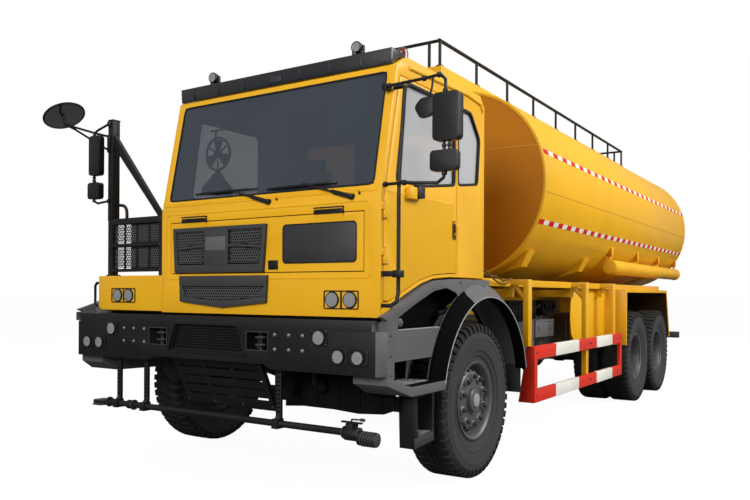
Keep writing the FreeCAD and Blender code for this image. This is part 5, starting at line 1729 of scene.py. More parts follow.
    def _spray_bar(self) -> None:
        """Rounds the spray pipe and adds clamps, flanges, cock lever, hose stub ribs and the fan nozzle."""
        self.soften("front_spray_bar", Finishes.powder, ease=3)
        shape = self.shape()
        for y in (-1160, -790, 760):
            for off in (-22, 12):
                shape.lathe(band(off, off + 10, 28, 34), (self.pipe_x, y, self.pipe_z), (0, 1, 0), 24, True)
            shape.box((1574, 1586), (y - 22, y + 22), (645, 662))
        for y in (-1285, -940, 1400, 1532):
            shape.lathe(band(0, 9, 26, 47), (self.pipe_x, y, self.pipe_z), (0, 1, 0), 28, True)
        for i in range(5):
            shape.lathe(
                [(0, 50), (4, 56), (10, 56), (14, 50)], (self.pipe_x, 1566 + 24 * i, self.pipe_z - 30),
                (0, 1, 0), 28, True,
            )
        shape.lathe(drum(6, 47), (self.pipe_x, 1686, self.pipe_z - 30), (0, 1, 0), 28)
        shape.tube([(1580, 1470, 690), (1588, 1470, 712), (1592, 1560, 716)], 7, 14, 10)
        shape.lathe(drum(34, 12), (1592, 1556, 716), (0, 1, 0), 12)
        shape.piece("spray_pipe_fittings", Finishes.casting, ease=1.5)
        # the spray pipe's hanger holes are dark discs of painted shade
        slots = self.shape()
        for y in (-1160, -790, 760):
            for z in range(700, 1010, 34):
                slots.lathe(drum(1.2, 8), (1572.2, y - 12, z), (1, 0, 0), 12)
                slots.lathe(drum(1.2, 8), (1572.2, y + 12, z), (1, 0, 0), 12)
        slots.piece("spray_hanger_holes", Finishes.hollow)
        nozzle = self.shape()
        nozzle.prism(
            "xy",
            [(1522, -1440), (1640, -1440), (1652, -1400), (1652, -1330), (1640, -1290), (1522, -1290)],
            622,
            628,
        )
        nozzle.prism("xz", [(1640, 588), (1664, 580), (1664, 584), (1640, 600)], -1430, -1300)
        nozzle.piece("spray_fan_nozzle", Finishes.casting, ease=1)


# ---------------------------------------------------------------- cab
@dataclass(frozen=True)
class Cab(Work):
    """Cab shell, door, lid and glass with seals, hinges, wipers, handle and what the glass shows."""

    front: float = 1560.0
    crease: float = 2335.0
    lean: float = 0.205
    left: float = 1700.0
    wheel: Point = (825.0, 0.0, 2296.0)
    fan: Point = (1050.0, -430.0, 2925.0)

    def build(self) -> None:
        """Makes all pieces of the cab."""
        self._panels()
        self._glass()
        self._seals()
        self._lid()
        self._wipers()
        self._door()
        self._visor()
        self._inside()

    def slope(self, y: float, z: float, t: float) -> Point:
        """A point over the leaning front, from its y and z and its height off the panel."""
        return (self.front - self.lean * max(0.0, z - self.crease) + t, y, z)

    def _panels(self) -> None:
        """Rounds the shell, the door and the lid, and lines them inside."""

        def within(middle: Vector, normal: Vector) -> bool:
            """Whether a face looks into the cab."""
            screen = self.front - 30 - self.lean * max(0.0, middle.z - self.crease)
            return -137 < middle.x < screen and -547 < middle.y < 1647 and 1600 < middle.z < 3372

        trim = Finishes.trim
        self.soften(
            "cab_shell",
            Finishes.enamel,
            ease=9,
            steps=3,
            lining=trim,
            lined=within,
            shaped=lambda p: Vector((p.x, p.y, 2279)) if p.x > 1540 and 2300 < p.z < 2320 else p,
        )
        self.soften(
            "left_door", Finishes.enamel, "cab_door", ease=4, lining=trim,
            lined=lambda middle, normal: middle.y < 1649,
        )
        self.soften(
            "front_lid",
            Finishes.enamel,
            "service_lid",
            ease=4,
            shaped=lambda p: Vector((p.x, p.y, 2232)) if p.x > 1560.05 and 2185 < p.z < 2200 else p,
        )
        self.soften("cab_mounts", Finishes.casting, ease=4)
        pressing = self.shape()
        outer = round_rect((-548, 1616), (1742, 2318), 46)
        pressing.rim(self._face, outer, inset(outer, 16), -1, 3)
        pressing.rim(self._face, inset(outer, 4), inset(outer, 12), 2, 4.5)
        pressing.piece("cab_front_pressing", Finishes.enamel, ease=1.2)
        ridge = self.shape()
        for z, high in ((2384, 5), (2400, 3)):
            ring_pair = [
                [
                    (self.front - self.lean * (z + dz - self.crease) + t, y, z + dz)
                    for dz, t in ((-7, -1), (-2, high), (2, high), (7, -1))
                ]
                for y in (-575, 1672)
            ]
            ridge.loft(ring_pair)
        ridge.piece("cab_front_ridge", Finishes.enamel, ease=1)
        channel = self.shape()
        for x0, x1 in ((-178, -162), (330, 346)):
            channel.prism(
                "xz", [(x0, 1800), (x1, 1800), (x1, 2560), (x0, 2560)], self.left - 1, self.left + 2.5
            )
        channel.piece("cab_side_ribs", Finishes.enamel, ease=1)

    def _face(self, y: float, z: float, t: float) -> Point:
        """A point over the upright front."""
        return (self.front + t, y, z)

    def _glass(self) -> None:
        """Copies the panes with a tinted windscreen and clearer side windows."""
        self.soften(
            "cab_glass", Finishes.screen, ease=0, lining=Finishes.window,
            lined=lambda middle, normal: middle.x < 1262, name="cab_panes",
        )
        self.soften("left_door_glass", Finishes.window, "cab_door", ease=0, name="door_pane")

    def _seals(self) -> None:
        """Makes the rubber round every window."""
        seal = Finishes.seal
        shape = self.shape()
        outer = round_rect((-530, 1630), (2424, 3296), 50, 5)
        shape.rim(self.slope, outer, inset(outer, 15), -20, 2.5)
        quarter = eased([(-56, 2617), (334, 2563), (334, 3235), (85, 3235), (-98, 3030)], 46)
        shape.rim("xz", inset(quarter, -9), inset(quarter, 13), self.left - 24, self.left + 2.5)
        right = eased([(300, 2485), (1250, 2485), (1140, 3235), (300, 3235)], 60)
        shape.rim("xz", inset(right, -9), inset(right, 16), -602.5, -560)
        for y0, y1 in ((-350, 300), (800, 1450)):
            pane = round_rect((y0 - 9, y1 + 9), (2536, 3184), 50)
            shape.rim("yz", pane, inset(pane, 24), -192.5, -150)
        shape.piece("window_seals", seal, ease=2)
        door = eased([(394, 2555), (900, 2485), (1357, 2470), (1239, 3163), (1189, 3235), (394, 3235)], 48)
        edge = self.shape().rim("xz", inset(door, -10), inset(door, 14), self.left - 30, self.left + 3)
        edge.piece("door_window_seal", seal, "cab_door", ease=2)

    def _lid(self) -> None:
        """Makes the lid's blank plate, latch, hinge covers and fasteners."""
        body = "service_lid"
        plate = round_rect((786, 1492), (1862, 2170), 34)
        self.shape().rim(self._face, plate, inset(plate, 9), -1, 6).piece(
            "lid_plate_edge", Finishes.black_plastic, body, ease=2
        )
        self.shape().prism(self._face, inset(plate, 8), -1, 3.5).piece(
            "lid_blank_plate", Finishes.plate, body, ease=0.8
        )
        latch = self.shape().prism(self._face, round_rect((640, 740), (1818, 1892), 6), -1, 6)
        latch.rim(
            self._face, round_rect((652, 708), (1828, 1882), 6), round_rect((658, 702), (1834, 1876), 4),
            5, 9,
        )
        latch.lathe(knob(14, 7, 9, 10), (1565, 680, 1855), (1, 0, 0), 20)
        latch.box((1573, 1577), (676, 684), (1843, 1867))
        latch.piece("lid_latch", Finishes.black_plastic, body, ease=1.5)
        hinge, fixed = self.shape(), self.shape()
        for y0, y1 in ((-327, -47), (1110, 1371)):
            hinge.lathe(drum(y1 - y0, 11.5), (1575, y0, 2255), (0, 1, 0), 18)
            hinge.box((1558, 1583), (y0 - 5, y1 + 5), (2228, 2260))
            fixed.box((1548, 1586), (y0 - 5, y1 + 5), (2272, 2283))
            fixed.box((1548, 1562), (y0 - 5, y1 + 5), (2265, 2274))
            for y in (y0 + 45, y1 - 75):
                fixed.box((1585, 1588), (y, y + 30), (2274, 2280))
        hinge.piece("lid_hinge_leaves", Finishes.black_plastic, body, ease=3)
        fixed.piece("cab_hinge_leaves", Finishes.black_plastic, ease=3)

    def _wipers(self) -> None:
        """Makes the two wipers, their spindles and the washer jets."""
        shape = self.shape()
        blade, blade_lift = 7.0, 9
        for pivot, start, end, middle in (
            ((1583, 639, 2358), (-201, 2474), (492, 2476), (190, 2488)),
            ((1583, 1448, 2346), (606, 2462), (1290, 2466), (985, 2477)),
        ):
            shape.lathe([(-30, 0), (-30, 24), (-6, 22), (4, 17), (8, 10), (8, 0)], pivot, (1, 0, 0), 20)
            foot = Vector(pivot)
            grip = Vector(self.slope(middle[0], middle[1], 26))
            way = (grip - foot).normalized()
            half = foot + way * 190
            up = Vector((0, 0, 1))
            shape.loft([
                [p + up * h + Vector((d, 0, 0)) for h, d in ((-w, -5), (w, -5), (w, 5), (-w, 5))]
                for p, w in ((foot, 19), (half, 15))
            ])
            shape.rod(half, grip, 8, 10)
            low, high = Vector(self.slope(*start, blade_lift)), Vector(self.slope(*end, blade_lift))
            rings = []
            for i in range(9):
                p = low.lerp(high, i / 8)
                tall = 6 + 22 * math.sin(math.pi * i / 8) ** 0.6
                rings.append([
                    (p.x + ahead, p.y, p.z + up)
                    for ahead, up in ((-7, -blade), (tall, -blade), (tall, blade), (-7, blade))
                ])
            shape.loft(rings)
        for y, z in ((717, 2372), (1508, 2367)):
            shape.lathe([(0, 0), (0, 11), (8, 9), (14, 5), (14, 0)], self.slope(y, z, -2), (1, 0, 0), 14)
            shape.rod(self.slope(y, z, 8), self.slope(y - 4, z + 22, 9), 3, 8)
        shape.piece("wipers", Finishes.black_plastic, ease=1)

    def _door(self) -> None:
        """Makes the door's handle, block and bracket, its hinge pins and the grab bar's clamp."""
        body = "cab_door"
        # the dark rings round the handle are painted shade of its recess
        handle = self.shape()
        outer = round_rect((376, 440), (2090, 2252), 24, 5)
        handle.rim("xz", outer, inset(outer, 7), self.left - 1, self.left + 4)
        handle.rim("xz", inset(outer, 22), inset(outer, 27), self.left - 1, self.left + 6)
        handle.lathe(knob(9, 3, 5, 6), (408, self.left + 3, 2110), (0, 1, 0), 16)
        handle.piece("door_handle_frame", Finishes.dark_trim, body, ease=1.2)
        grip = self.shape().tube(
            [
                (408, self.left - 2, 2132), (408, self.left + 26, 2140), (408, self.left + 30, 2180),
                (408, self.left + 26, 2226), (408, self.left - 2, 2236),
            ],
            9,
            20,
            12,
        )
        grip.piece("door_handle_grip", Finishes.enamel, body)
        block = self.shape().box((1112, 1214), (self.left - 1, self.left + 48), (2352, 2446))
        block.piece("door_block", Finishes.enamel, body, ease=8)
        cap = self.shape().prism(
            "xz",
            [
                (1012, 2372), (1106, 2356), (1112, 2440), (1084, 2474), (1060, 2440), (1040, 2470),
                (1012, 2462),
            ],
            self.left - 1,
            self.left + 58,
        )
        cap.piece("door_block_bracket", Finishes.black_plastic, body, ease=5)
        pins = self.shape()
        for z in (1850, 2180):
            for off in (-2, 112):
                pins.lathe(knob(11, 3, 5, 8), (1530, 1712, z + off), (0, 0, 1), 14)
        pins.piece("door_hinge_pins", Finishes.zinc)
        clamp = self.shape()
        for z in (1762, 1784):
            clamp.lathe(band(0, 9, 16, 22), (1505, 1815, z - 4), (0, 0, 1), 20, True)
        clamp.box((1500, 1560), (1795, 1862), (1748, 1800))
        clamp.piece("grab_bar_clamp", Finishes.black_plastic, ease=3)

    def _visor(self) -> None:
        """Rounds the roof visor and adds its ribs, end caps and blank plate."""
        self.soften("roof_visor", Finishes.visor, ease=12, steps=3)
        shape = self.shape()
        for y in (-420, -120, 180, 480, 780, 1080, 1380, 1590):
            shape.box((1352, 1361.5), (y - 3, y + 3), (3362, 3460))
        shape.piece("visor_ribs", Finishes.visor, ease=1.5)
        plate = self.shape()
        plate.prism("yz", round_rect((468, 592), (3376, 3424), 10), 1355, 1362)
        plate.piece("visor_blank_plate", Finishes.plate, ease=1.5)

    def _inside(self) -> None:
        """Makes seats, steering wheel, fan, sun blind and the dashboard's hood, dials and vents."""
        self._dash_fan()
        self._seats()
        self.soften("dashboard", Finishes.black_plastic, ease=14, steps=3)
        dash = self.shape()
        hood = [(1130, 2378), (1190, 2440), (1330, 2452), (1400, 2380)]
        dash.prism("xz", hood, -270, 270)
        dash.prism("xz", [(1150, 2378), (1180, 2412), (1300, 2412), (1330, 2378)], 560, 1180)
        dash.piece("dash_hood", Finishes.black_plastic, ease=16, steps=3)
        dials = self.shape()
        for y in (-130, 0, 130):
            dials.lathe(
                [(0, 0), (0, 48), (4, 48), (6, 44), (6, 40), (3, 38), (3, 0)],
                (1158, y, 2400),
                (-0.75, 0, 0.35),
                24,
            )
        dials.piece("dash_dials", Finishes.plate)
        vents = self.shape()
        for y in (-440, 400, 700, 1000, 1400):
            outline = round_rect((y - 70, y + 70), (2300, 2360), 14)
            vents.rim("yz", outline, inset(outline, 7), 1070, 1086)
            for z in (2314, 2330, 2346):
                vents.box((1076, 1088), (y - 62, y + 62), (z - 2, z + 2))
        vents.move((-3, 0, -14)).piece("dash_vents", Finishes.black_plastic, ease=1)
        middle = self.wheel
        rim_points = []
        for i in range(12):
            a = math.tau * i / 12
            rim_points.append((math.cos(a) * 14, 218 + math.sin(a) * 14))
        wheel = self.shape().lathe(rim_points, middle, (1, 0, 0), 48, True)
        wheel.piece("hand_wheel_rim", Finishes.wheel_rim, "hand_wheel", "steering_wheel")
        spokes = self.shape()
        for degrees in (10, 170, 270):
            a = math.radians(degrees)
            c, s = math.cos(a), math.sin(a)
            spokes.loft([
                [
                    (middle[0] + t, c * r - s * w, middle[2] + s * r + c * w)
                    for t, w in ((-5, -wide), (-5, wide), (5, wide), (5, -wide))
                ]
                for r, wide in ((40, 30), (120, 20), (214, 16))
            ])
        spokes.lathe([(-20, 0), (-24, 40), (-14, 66), (6, 70), (24, 50), (24, 0)], middle, (1, 0, 0), 32)
        spokes.piece("hand_wheel_spokes", Finishes.black_plastic, "hand_wheel", ease=3)
        blind = self.shape()
        blind.prism("xz", [(1252, 3180), (1262, 3180), (1224, 3345), (1214, 3345)], -460, 1560)
        blind.tube([(1100, -300, 3370), (1100, -300, 3130), (1100, -420, 3130), (1100, -180, 3130)], 7, 4, 8)
        blind.piece("sun_blind", Finishes.trim, ease=3)

    def _dash_fan(self) -> None:
        """Makes the fan on the dashboard's far end and the assist handle over it."""
        hub = self.fan
        fan = self.shape().lathe(band(-9, 9, 141, 159), hub, (1, 0, 0), 32, True)
        fan.lathe(band(-22, 22, 0, 38), hub, (1, 0, 0), 20)
        for number in range(6):
            a = math.radians(30 + 60 * number)
            fan.rod(hub, (hub[0], hub[1] + 145 * math.cos(a), hub[2] + 145 * math.sin(a)), 7, 8)
        for number in range(3):
            a = math.radians(90 + 120 * number)
            y, z = math.cos(a), math.sin(a)
            fan.loft([
                [
                    (x, hub[1] + y * r - z * w, hub[2] + z * r + y * w)
                    for r, w in ((30, 20), (30, -20), (128, -62), (128, 54))
                ]
                for x in (1046, 1056)
            ])
        fan.rod((1050, -430, 2780), (1060, -430, 2540), 26, 14)
        fan.lathe(
            [(0, 0), (0, 150), (50, 140), (130, 70), (180, 40), (180, 0)], (1055, -430, 2560), (0, 0, 1), 24
        )
        fan.rod((1000, -510, 3090), (1000, -510, 3162), 9, 10)
        fan.rod((1000, -590, 3162), (1000, -430, 3162), 9, 10)
        fan.piece("dash_fan", Finishes.black_plastic, ease=2)

    def _seats(self) -> None:
        """Makes the two seats as stitched pads on a base: cushion, back with bolsters and head rest."""
        for number, y in enumerate((0.0, 1100.0), 1):
            for part, centre, size, tilt in (
                ("cushion", (545, y, 2130), (270, 250, 85), -4),
                ("back", (235, y, 2480), (62, 238, 370), -7),
                ("head_rest", (178, y, 2862), (48, 150, 95), -7),
            ):
                pad = self._pad(f"seat_{number}_{part}", centre, size, tilt)
                if part == "cushion" and number == 1:
                    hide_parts("seats")
        base = self.shape()
        for y in (0.0, 1100.0):
            base.box((335, 715), (y - 175, y + 175), (1990, 2050))
            for x in (370, 680):
                base.tube(
                    [(x, y - 150, 1835), (x, y - 150, 1990), (x, y + 150, 1990), (x, y + 150, 1835)],
                    16,
                    30,
                    12,
                )
            for i in range(5):
                base.rim(
                    "xy", round_rect((372 + i, 678 - i), (y - 140, y + 140), 30),
                    round_rect((384 + i, 666 - i), (y - 128, y + 128), 24), 1850 + 28 * i, 1866 + 28 * i,
                )
        base.piece("seat_bases", Finishes.casting, ease=3)

    def _pad(self, name: str, centre: Point, size: Point, tilt: float) -> bpy.types.Object:
        """A stuffed pad: a subdivided block with rounded bolsters, sewn seams sunk across its face.

        Args:
            name: the piece's name.
            centre: its middle, in millimetres from the front axle.
            size: half its size along each axis.
            tilt: how far it leans, in degrees about y.

        Returns:
            The pad.
        """
        bm = bmesh.new()
        bmesh.ops.create_cube(bm, size=2.0)
        bmesh.ops.subdivide_edges(bm, edges=bm.edges[:], cuts=11, use_grid_fill=True)
        thin = min(range(3), key=lambda i: size[i])
        wide = [i for i in range(3) if i != thin]
        for vert in bm.verts:
            p = vert.co.copy()
            swell = (1 - abs(p[wide[0]]) ** 3.2) * (1 - abs(p[wide[1]]) ** 3.2)
            side = abs(p.y)
            bolster = 0.26 * math.exp(-(((side - 0.78) / 0.13) ** 2)) * (
                1 - abs(p[wide[0] if wide[0] != 1 else wide[1]]) ** 6
            )
            seam = sum(math.exp(-(((side - s) / 0.035) ** 2)) for s in (0.22, 0.6)) * 0.11
            p[thin] *= 0.62 + 0.38 * max(0.0, swell) ** 0.5 + bolster - seam
            for i in wide:
                p[i] *= 1 - 0.05 * abs(vert.co[wide[0] + wide[1] - i]) ** 4
            vert.co = Vector((p.x * size[0], p.y * size[1], p.z * size[2]))
        bmesh.ops.rotate(
            bm, cent=(0, 0, 0), matrix=Matrix.Rotation(math.radians(tilt), 3, "Y"), verts=bm.verts[:]
        )
        for vert in bm.verts:
            vert.co = self.frame.place(*(vert.co + Vector(centre)))
        bmesh.ops.recalc_face_normals(bm, faces=bm.faces[:])
        mesh = bpy.data.meshes.new(name)
        bm.to_mesh(mesh)
        bm.free()
        smooth(mesh, 180)
        mesh.materials.append(Finishes.cloth.material())
        pad = fitted(name, mesh, "chassis")
        return pad


# ---------------------------------------------------------------- wings and steps
@dataclass(frozen=True)
class Wings(Work):
    """Front wings with painted shade in their arches and recesses, treads, hose loops and the lower steps."""

    repeat: Repeat
    arch_x: float = -20.0
    arch_z: float = 735.0
    inner_reach: float = 862.0
    outer_reach: float = 980.0
    lip_reach: float = 872.0
    backing_reach: float = 874.0
    lip_y: float = 1848.0

    def build(self) -> None:
        """Makes both wings and their steps."""
        for side in Side:
            self._wing(side)
        self.soften("front_steps", Finishes.powder, ease=4)
        self._treads()

    def _on_arch(self, reach: float, angle: float, y: float) -> Point:
        """A point at a reach and an angle, in radians, from the arch's middle."""
        return (self.arch_x + reach * math.cos(angle), y, self.arch_z + reach * math.sin(angle))

    def _dark(self, middle: Vector, normal: Vector) -> bool:
        """Whether a wing's face gets painted shade: in the arch, in the step well, in the recess under its
        top, or on the flare's front.
        """
        y = abs(middle.y)
        dx, dz = middle.x - self.arch_x, middle.z - self.arch_z
        reach = math.hypot(dx, dz)
        if reach < 869 and normal.x * dx + normal.z * dz < -0.3 * reach:
            return True
        if 886 < reach < 984 and y > 1752 and dx > 330 and dz > 150:
            return True
        if 880 < middle.x < 1450 and 950 < middle.z < 1140 and y < 1742:
            return True
        if middle.z > 1375 and normal.z > 0.3:
            return False
        return 400 < middle.x < 1410 and 1360 < middle.z < 1690 and y < 1744 and reach > 880

    def _wing(self, side: Side) -> None:
        """Rounds a wing with painted shade on its dark faces, and adds hose loop, boss, joint, sheets of
        painted shade, lip, ledge and bolts.
        """
        word, s = side.word, side.value
        # the wing's arch, step well, recess and flare front take the near-black painted shade
        self.soften(
            f"front_{word}_wing", Finishes.moulding, ease=8, steps=3, lining=Finishes.hollow,
            lined=self._dark,
        )
        loop = self.shape().tube(
            [
                (700, 1640 * s, 1690), (600, 1690 * s, 1706), (470, 1700 * s, 1704), (372, 1700 * s, 1640),
                (372, 1700 * s, 1570), (500, 1700 * s, 1500), (600, 1650 * s, 1470),
            ],
            21,
            70,
            14,
        )
        for spot in ((600, 1690 * s, 1706), (372, 1700 * s, 1605)):
            loop.lathe(band(-16, 16, 0, 27), spot, (0.95, 0, -0.3) if spot[2] > 1650 else (0, 0, 1), 16)
        loop.piece(f"wing_{word}_hose_loop", Finishes.black_plastic, ease=2)
        boss = self.shape()
        boss.lathe([(0, 0), (0, 36), (16, 34), (24, 24), (26, 0)], (1352, 1726 * s, 1418), (0, s, 0), 26)
        boss.lathe(knob(13, 8, 10, 9), (1352, 1750 * s, 1418), (0, s, 0), 6)
        boss.piece(f"wing_{word}_boss", Finishes.moulding, ease=1.5)
        seam = self.shape()
        rings = []
        for radius in (self.inner_reach, self.outer_reach):
            a = math.radians(92)
            rings.append([
                self._on_arch(radius, a + e, y * s)
                for e, y in (
                    (-0.005, 1852 if radius < 900 else 1758), (0.005, 1852 if radius < 900 else 1758),
                    (0.005, 1840 if radius < 900 else 1746), (-0.005, 1840 if radius < 900 else 1746),
                )
            ])
        seam.loft(rings)
        seam.piece(f"wing_{word}_flare_joint", Finishes.hollow)
        # sheets of painted shade: on the flare at both ends of the arch, behind the hose loop and in the step
        # well
        shade = self.shape()
        for start, end in ((9, 66), (114, 171)):
            rings = []
            for i in range(27):
                angle = start + (end - start) * i / 26
                a = math.radians(angle)
                near = 922 + 49 * max(0.0, min(1.0, (44 - abs(90 - angle)) / 20))
                rings.append([
                    self._on_arch(r, a, (1852 - (r - self.inner_reach) * 94 / 118 + lift) * s)
                    for r, lift in ((near, 2), (972, 2), (972, -3), (near, -3))
                ])
            shade.loft(rings)
        arc = [self._on_arch(self.backing_reach, math.radians(a), 0)[::2] for a in range(90, 44, -5)]
        behind_loop = arc + [
            (1414, 1355), (1394, 1472), (1117, 1577), (846, 1667), (634, 1700), (300, 1735), (-20, 1735)
        ]
        shade.prism("xz", behind_loop, *span(s, 1600, 1606))
        well = [(897, 944), (1202, 944), (1453, 992), (1453, 1141), (876, 1144)]
        shade.prism("xz", well, *span(s, 1512, 1518))
        shade.piece(f"wing_{word}_shade", Finishes.hollow)
        # the lip bead and the ledge take the lighter moulding: painted highlight
        bead = []
        for i in range(41):
            a = math.radians(12 + 156 * i / 40)
            ring_points = []
            for k in range(6):
                b = math.tau * k / 6
                r = self.lip_reach + 7 * math.cos(b)
                ring_points.append(self._on_arch(r, a, (self.lip_y + 5 * math.sin(b)) * s))
            bead.append(ring_points)
        self.shape().loft(bead).piece(f"wing_{word}_lip", Finishes.moulding_lit)
        ledge = self.shape().tube(
            [(760, 1748 * s, 1367), (1060, 1748 * s, 1366), (1392, 1748 * s, 1365)], 6, 30, 8
        )
        ledge.piece(f"wing_{word}_ledge", Finishes.moulding_lit)
        bolt = self.shape().lathe([(0, 0), (0, 11), (4, 10), (7, 6), (7, 0)], (0, 0, 0), (0, s, 0), 12)
        spots = [
            (x, 1749.5 * s, z)
            for x, z in ((1500, 1330), (1500, 1180), (1500, 1040), (-120, 1690), (380, 1730))
        ]
        self.repeat.spots(f"wing_{word}_bolts", bolt, spots, Finishes.casting)

    def _treads(self) -> None:
        """Makes the studs on the step wells and the tread plates of the lower steps."""
        # the studs take the lighter moulding: painted highlight
        stud = self.shape().lathe([(-1, 0), (-1, 7.5), (3, 6), (6, 3.5), (6, 0)], (0, 0, 0), (0, 0, 1), 8)
        spots = []
        for s in (1, -1):
            for i in range(17):
                for j in range(8):
                    x = 925 + 29 * i + (14 if j % 2 else 0)
                    if x < 1425:
                        spots.append((x, (1530 + 30 * j) * s, 952 + max(0.0, (x - 1200) / 245 * 48)))
        self.repeat.spots("step_well_studs", stud, spots, Finishes.moulding_lit)
        plate = self.shape()
        plate.prism("xz", [(852, 528), (1074, 516), (1075, 534), (853, 546)], 1612, 1737)
        plate.prism("xz", [(822, 466), (1126, 446), (1132, 520), (822, 540)], 1733, 1741.5)
        plate.piece("lower_step_tread", Finishes.chassis, ease=2)
        spots = [
            (870 + 26 * i + (13 if j % 2 else 0), 1625 + 24 * j, 545 - (870 + 26 * i - 852) * 12 / 222)
            for i in range(8)
            for j in range(5)
        ]
        self.repeat.spots("lower_step_studs", stud, spots, Finishes.moulding_lit)
        bolt = self.shape().lathe(knob(9, 4, 6, 6), (0, 0, 0), (0, 1, 0), 10)
        spots = [(x, 1740, z) for x, z in ((834, 850), (1112, 850), (834, 600), (1102, 580))]
        self.repeat.spots("lower_step_bolts", bolt, spots, Finishes.casting)


# ---------------------------------------------------------------- deck beside the cab, mast and mirrors
@dataclass(frozen=True)
class MastAndMirrors(Work):
    """Deck box, guard frame with perforated sheets, mast, mirrors and grab bars."""

    repeat: Repeat
    mesh: Mesh
    round_mirror: Point = (1510.0, -2105.0, 3396.0)
    round_tilt: float = 30.0

    def build(self) -> None:
        """Makes all pieces."""
        self.soften("deck_box", Finishes.enamel, ease=7)
        self.soften("grab_bars", Finishes.powder, ease=1.5)
        self._mast()
        self._mirrors()

    def _mast(self) -> None:
        """Makes the guard frame, its sheets, the column with its brace and handle."""
        us, vs = [-1361, -1296, -660, -608], [1785, 1822, 1850, 2050, 2084, 2262, 2318]
        frame = pierced(
            self.shape(), lambda y, z, t: (1550 - t, y, z), us, vs, {(1, 0), (1, 2), (1, 4)}, 70
        )
        frame.box((1470, 1552), (-1364, -1294), (2300, 3250))
        frame.box((1462, 1556), (-1380, -1282), (1785, 1797))
        frame.prism("yz", [(-1300, 2995), (-672, 2300), (-610, 2300), (-1300, 3120)], 1496, 1536)
        frame.piece("mast_frame", Finishes.powder, node="mirror_mast", ease=5)
        for number, (z0, z1) in enumerate(((1850, 2050), (2084, 2262)), 1):
            outline = [(-1296, z0), (-660, z0), (-660, z1), (-1296, z1)]
            self.mesh.fill(f"mast_sheet_{number}", outline, 1513, Finishes.mesh, margin=2)
        more = self.shape()
        more.box((1486, 1490), (-1105, -656), (1836, 2268))
        for y in (-1150, -985, -820):
            more.box((1516, 1522), (y - 14, y + 14), (1822, 2262))
        more.tube(
            [(1500, -1300, 2452), (1500, -1190, 2445), (1500, -1152, 2400), (1500, -1152, 2310)], 15, 40, 14
        )
        more.rim(
            "yz",
            [(-1366, 3242), (-1291, 3242), (-1291, 3256), (-1366, 3256)],
            [(-1350, 3246), (-1306, 3246), (-1306, 3252), (-1350, 3252)],
            1468,
            1554,
        )
        more.piece("mast_details", Finishes.powder, ease=2)
        bolt = self.shape().lathe(knob(12, 7, 9, 8), (0, 0, 0), (1, 0, 0), 6)
        spots = [(1550, y, z) for y in (-1328, -634) for z in (1803, 1836, 2067, 2290)]
        self.repeat.spots("mast_bolts", bolt, spots, Finishes.casting)

    def _mirrors(self) -> None:
        """Rounds the mirrors and gives them glass, rims and collars."""
        self.soften("mirrors", Finishes.black_plastic, ease=9, steps=3)
        glass, rims = self.shape(), self.shape()
        for (y0, y1), (z0, z1), x in (
            ((2074, 2280), (2700, 3035), 1417), ((2052, 2262), (2490, 2636), 1422),
            ((-1574, -1420), (2738, 3112), 1550), ((-1590, -1425), (2515, 2670), 1550),
        ):
            outline = round_rect((y0 + 12, y1 - 12), (z0 + 12, z1 - 12), 20)
            glass.prism("yz", inset(outline, 6), x - 1.5, x + 2)
            rims.rim("yz", outline, inset(outline, 7), x - 4, x + 2)
        tilt = math.radians(self.round_tilt)
        axis = (0, -math.sin(tilt), math.cos(tilt))
        glass.lathe(band(-3, 1, 0, 190), self.round_mirror, axis, 40)
        glass.piece("mirror_glass", Finishes.silver)
        rims.lathe([(-6, 188), (-6, 200), (4, 206), (10, 200), (4, 188)], self.round_mirror, axis, 40, True)
        rims.piece("mirror_rims", Finishes.seal, ease=1)
        collars = self.shape()
        for spot, way in (
            ((1452, 1700, 3151), (0, 1, 0)), ((1452, 1990, 3161), (0, 1, 0)),
            ((1452, 2110, 3169), (0, 1, 0.1)), ((1535, 1722, 2419), (0, 1, 0)),
            ((1535, 1880, 2419), (0, 1, 0)), ((1452, 2159, 3050), (0, 0, 1)),
            ((1452, 2153, 2476), (0, 0, 1)),
        ):
            collars.lathe([(-13, 10), (-13, 18), (-9, 20), (9, 20), (13, 18), (13, 10)], spot, way, 18, True)
        for y in (2150, 2192):
            collars.lathe(band(-9, 9, 10, 17), (1452, y, 2668), (0, 0, 1), 16, True)
        for z in (2700, 2725, 3125, 2500, 2690):
            collars.lathe(band(-8, 8, 9, 17), (1562, -1553, z), (0, 0, 1), 16, True)
        paddle = [(1912, 2962), (1964, 3022), (2046, 3026), (2082, 2960), (2050, 2888), (1960, 2876)]
        collars.prism("yz", eased(paddle[::-1], 26), 1436, 1464)
        collars.tube([(1452, 2020, 3004), (1452, 2048, 3070), (1452, 2062, 3166)], 8, 26, 12)
        collars.piece("mirror_collars", Finishes.black_plastic, ease=1.5)


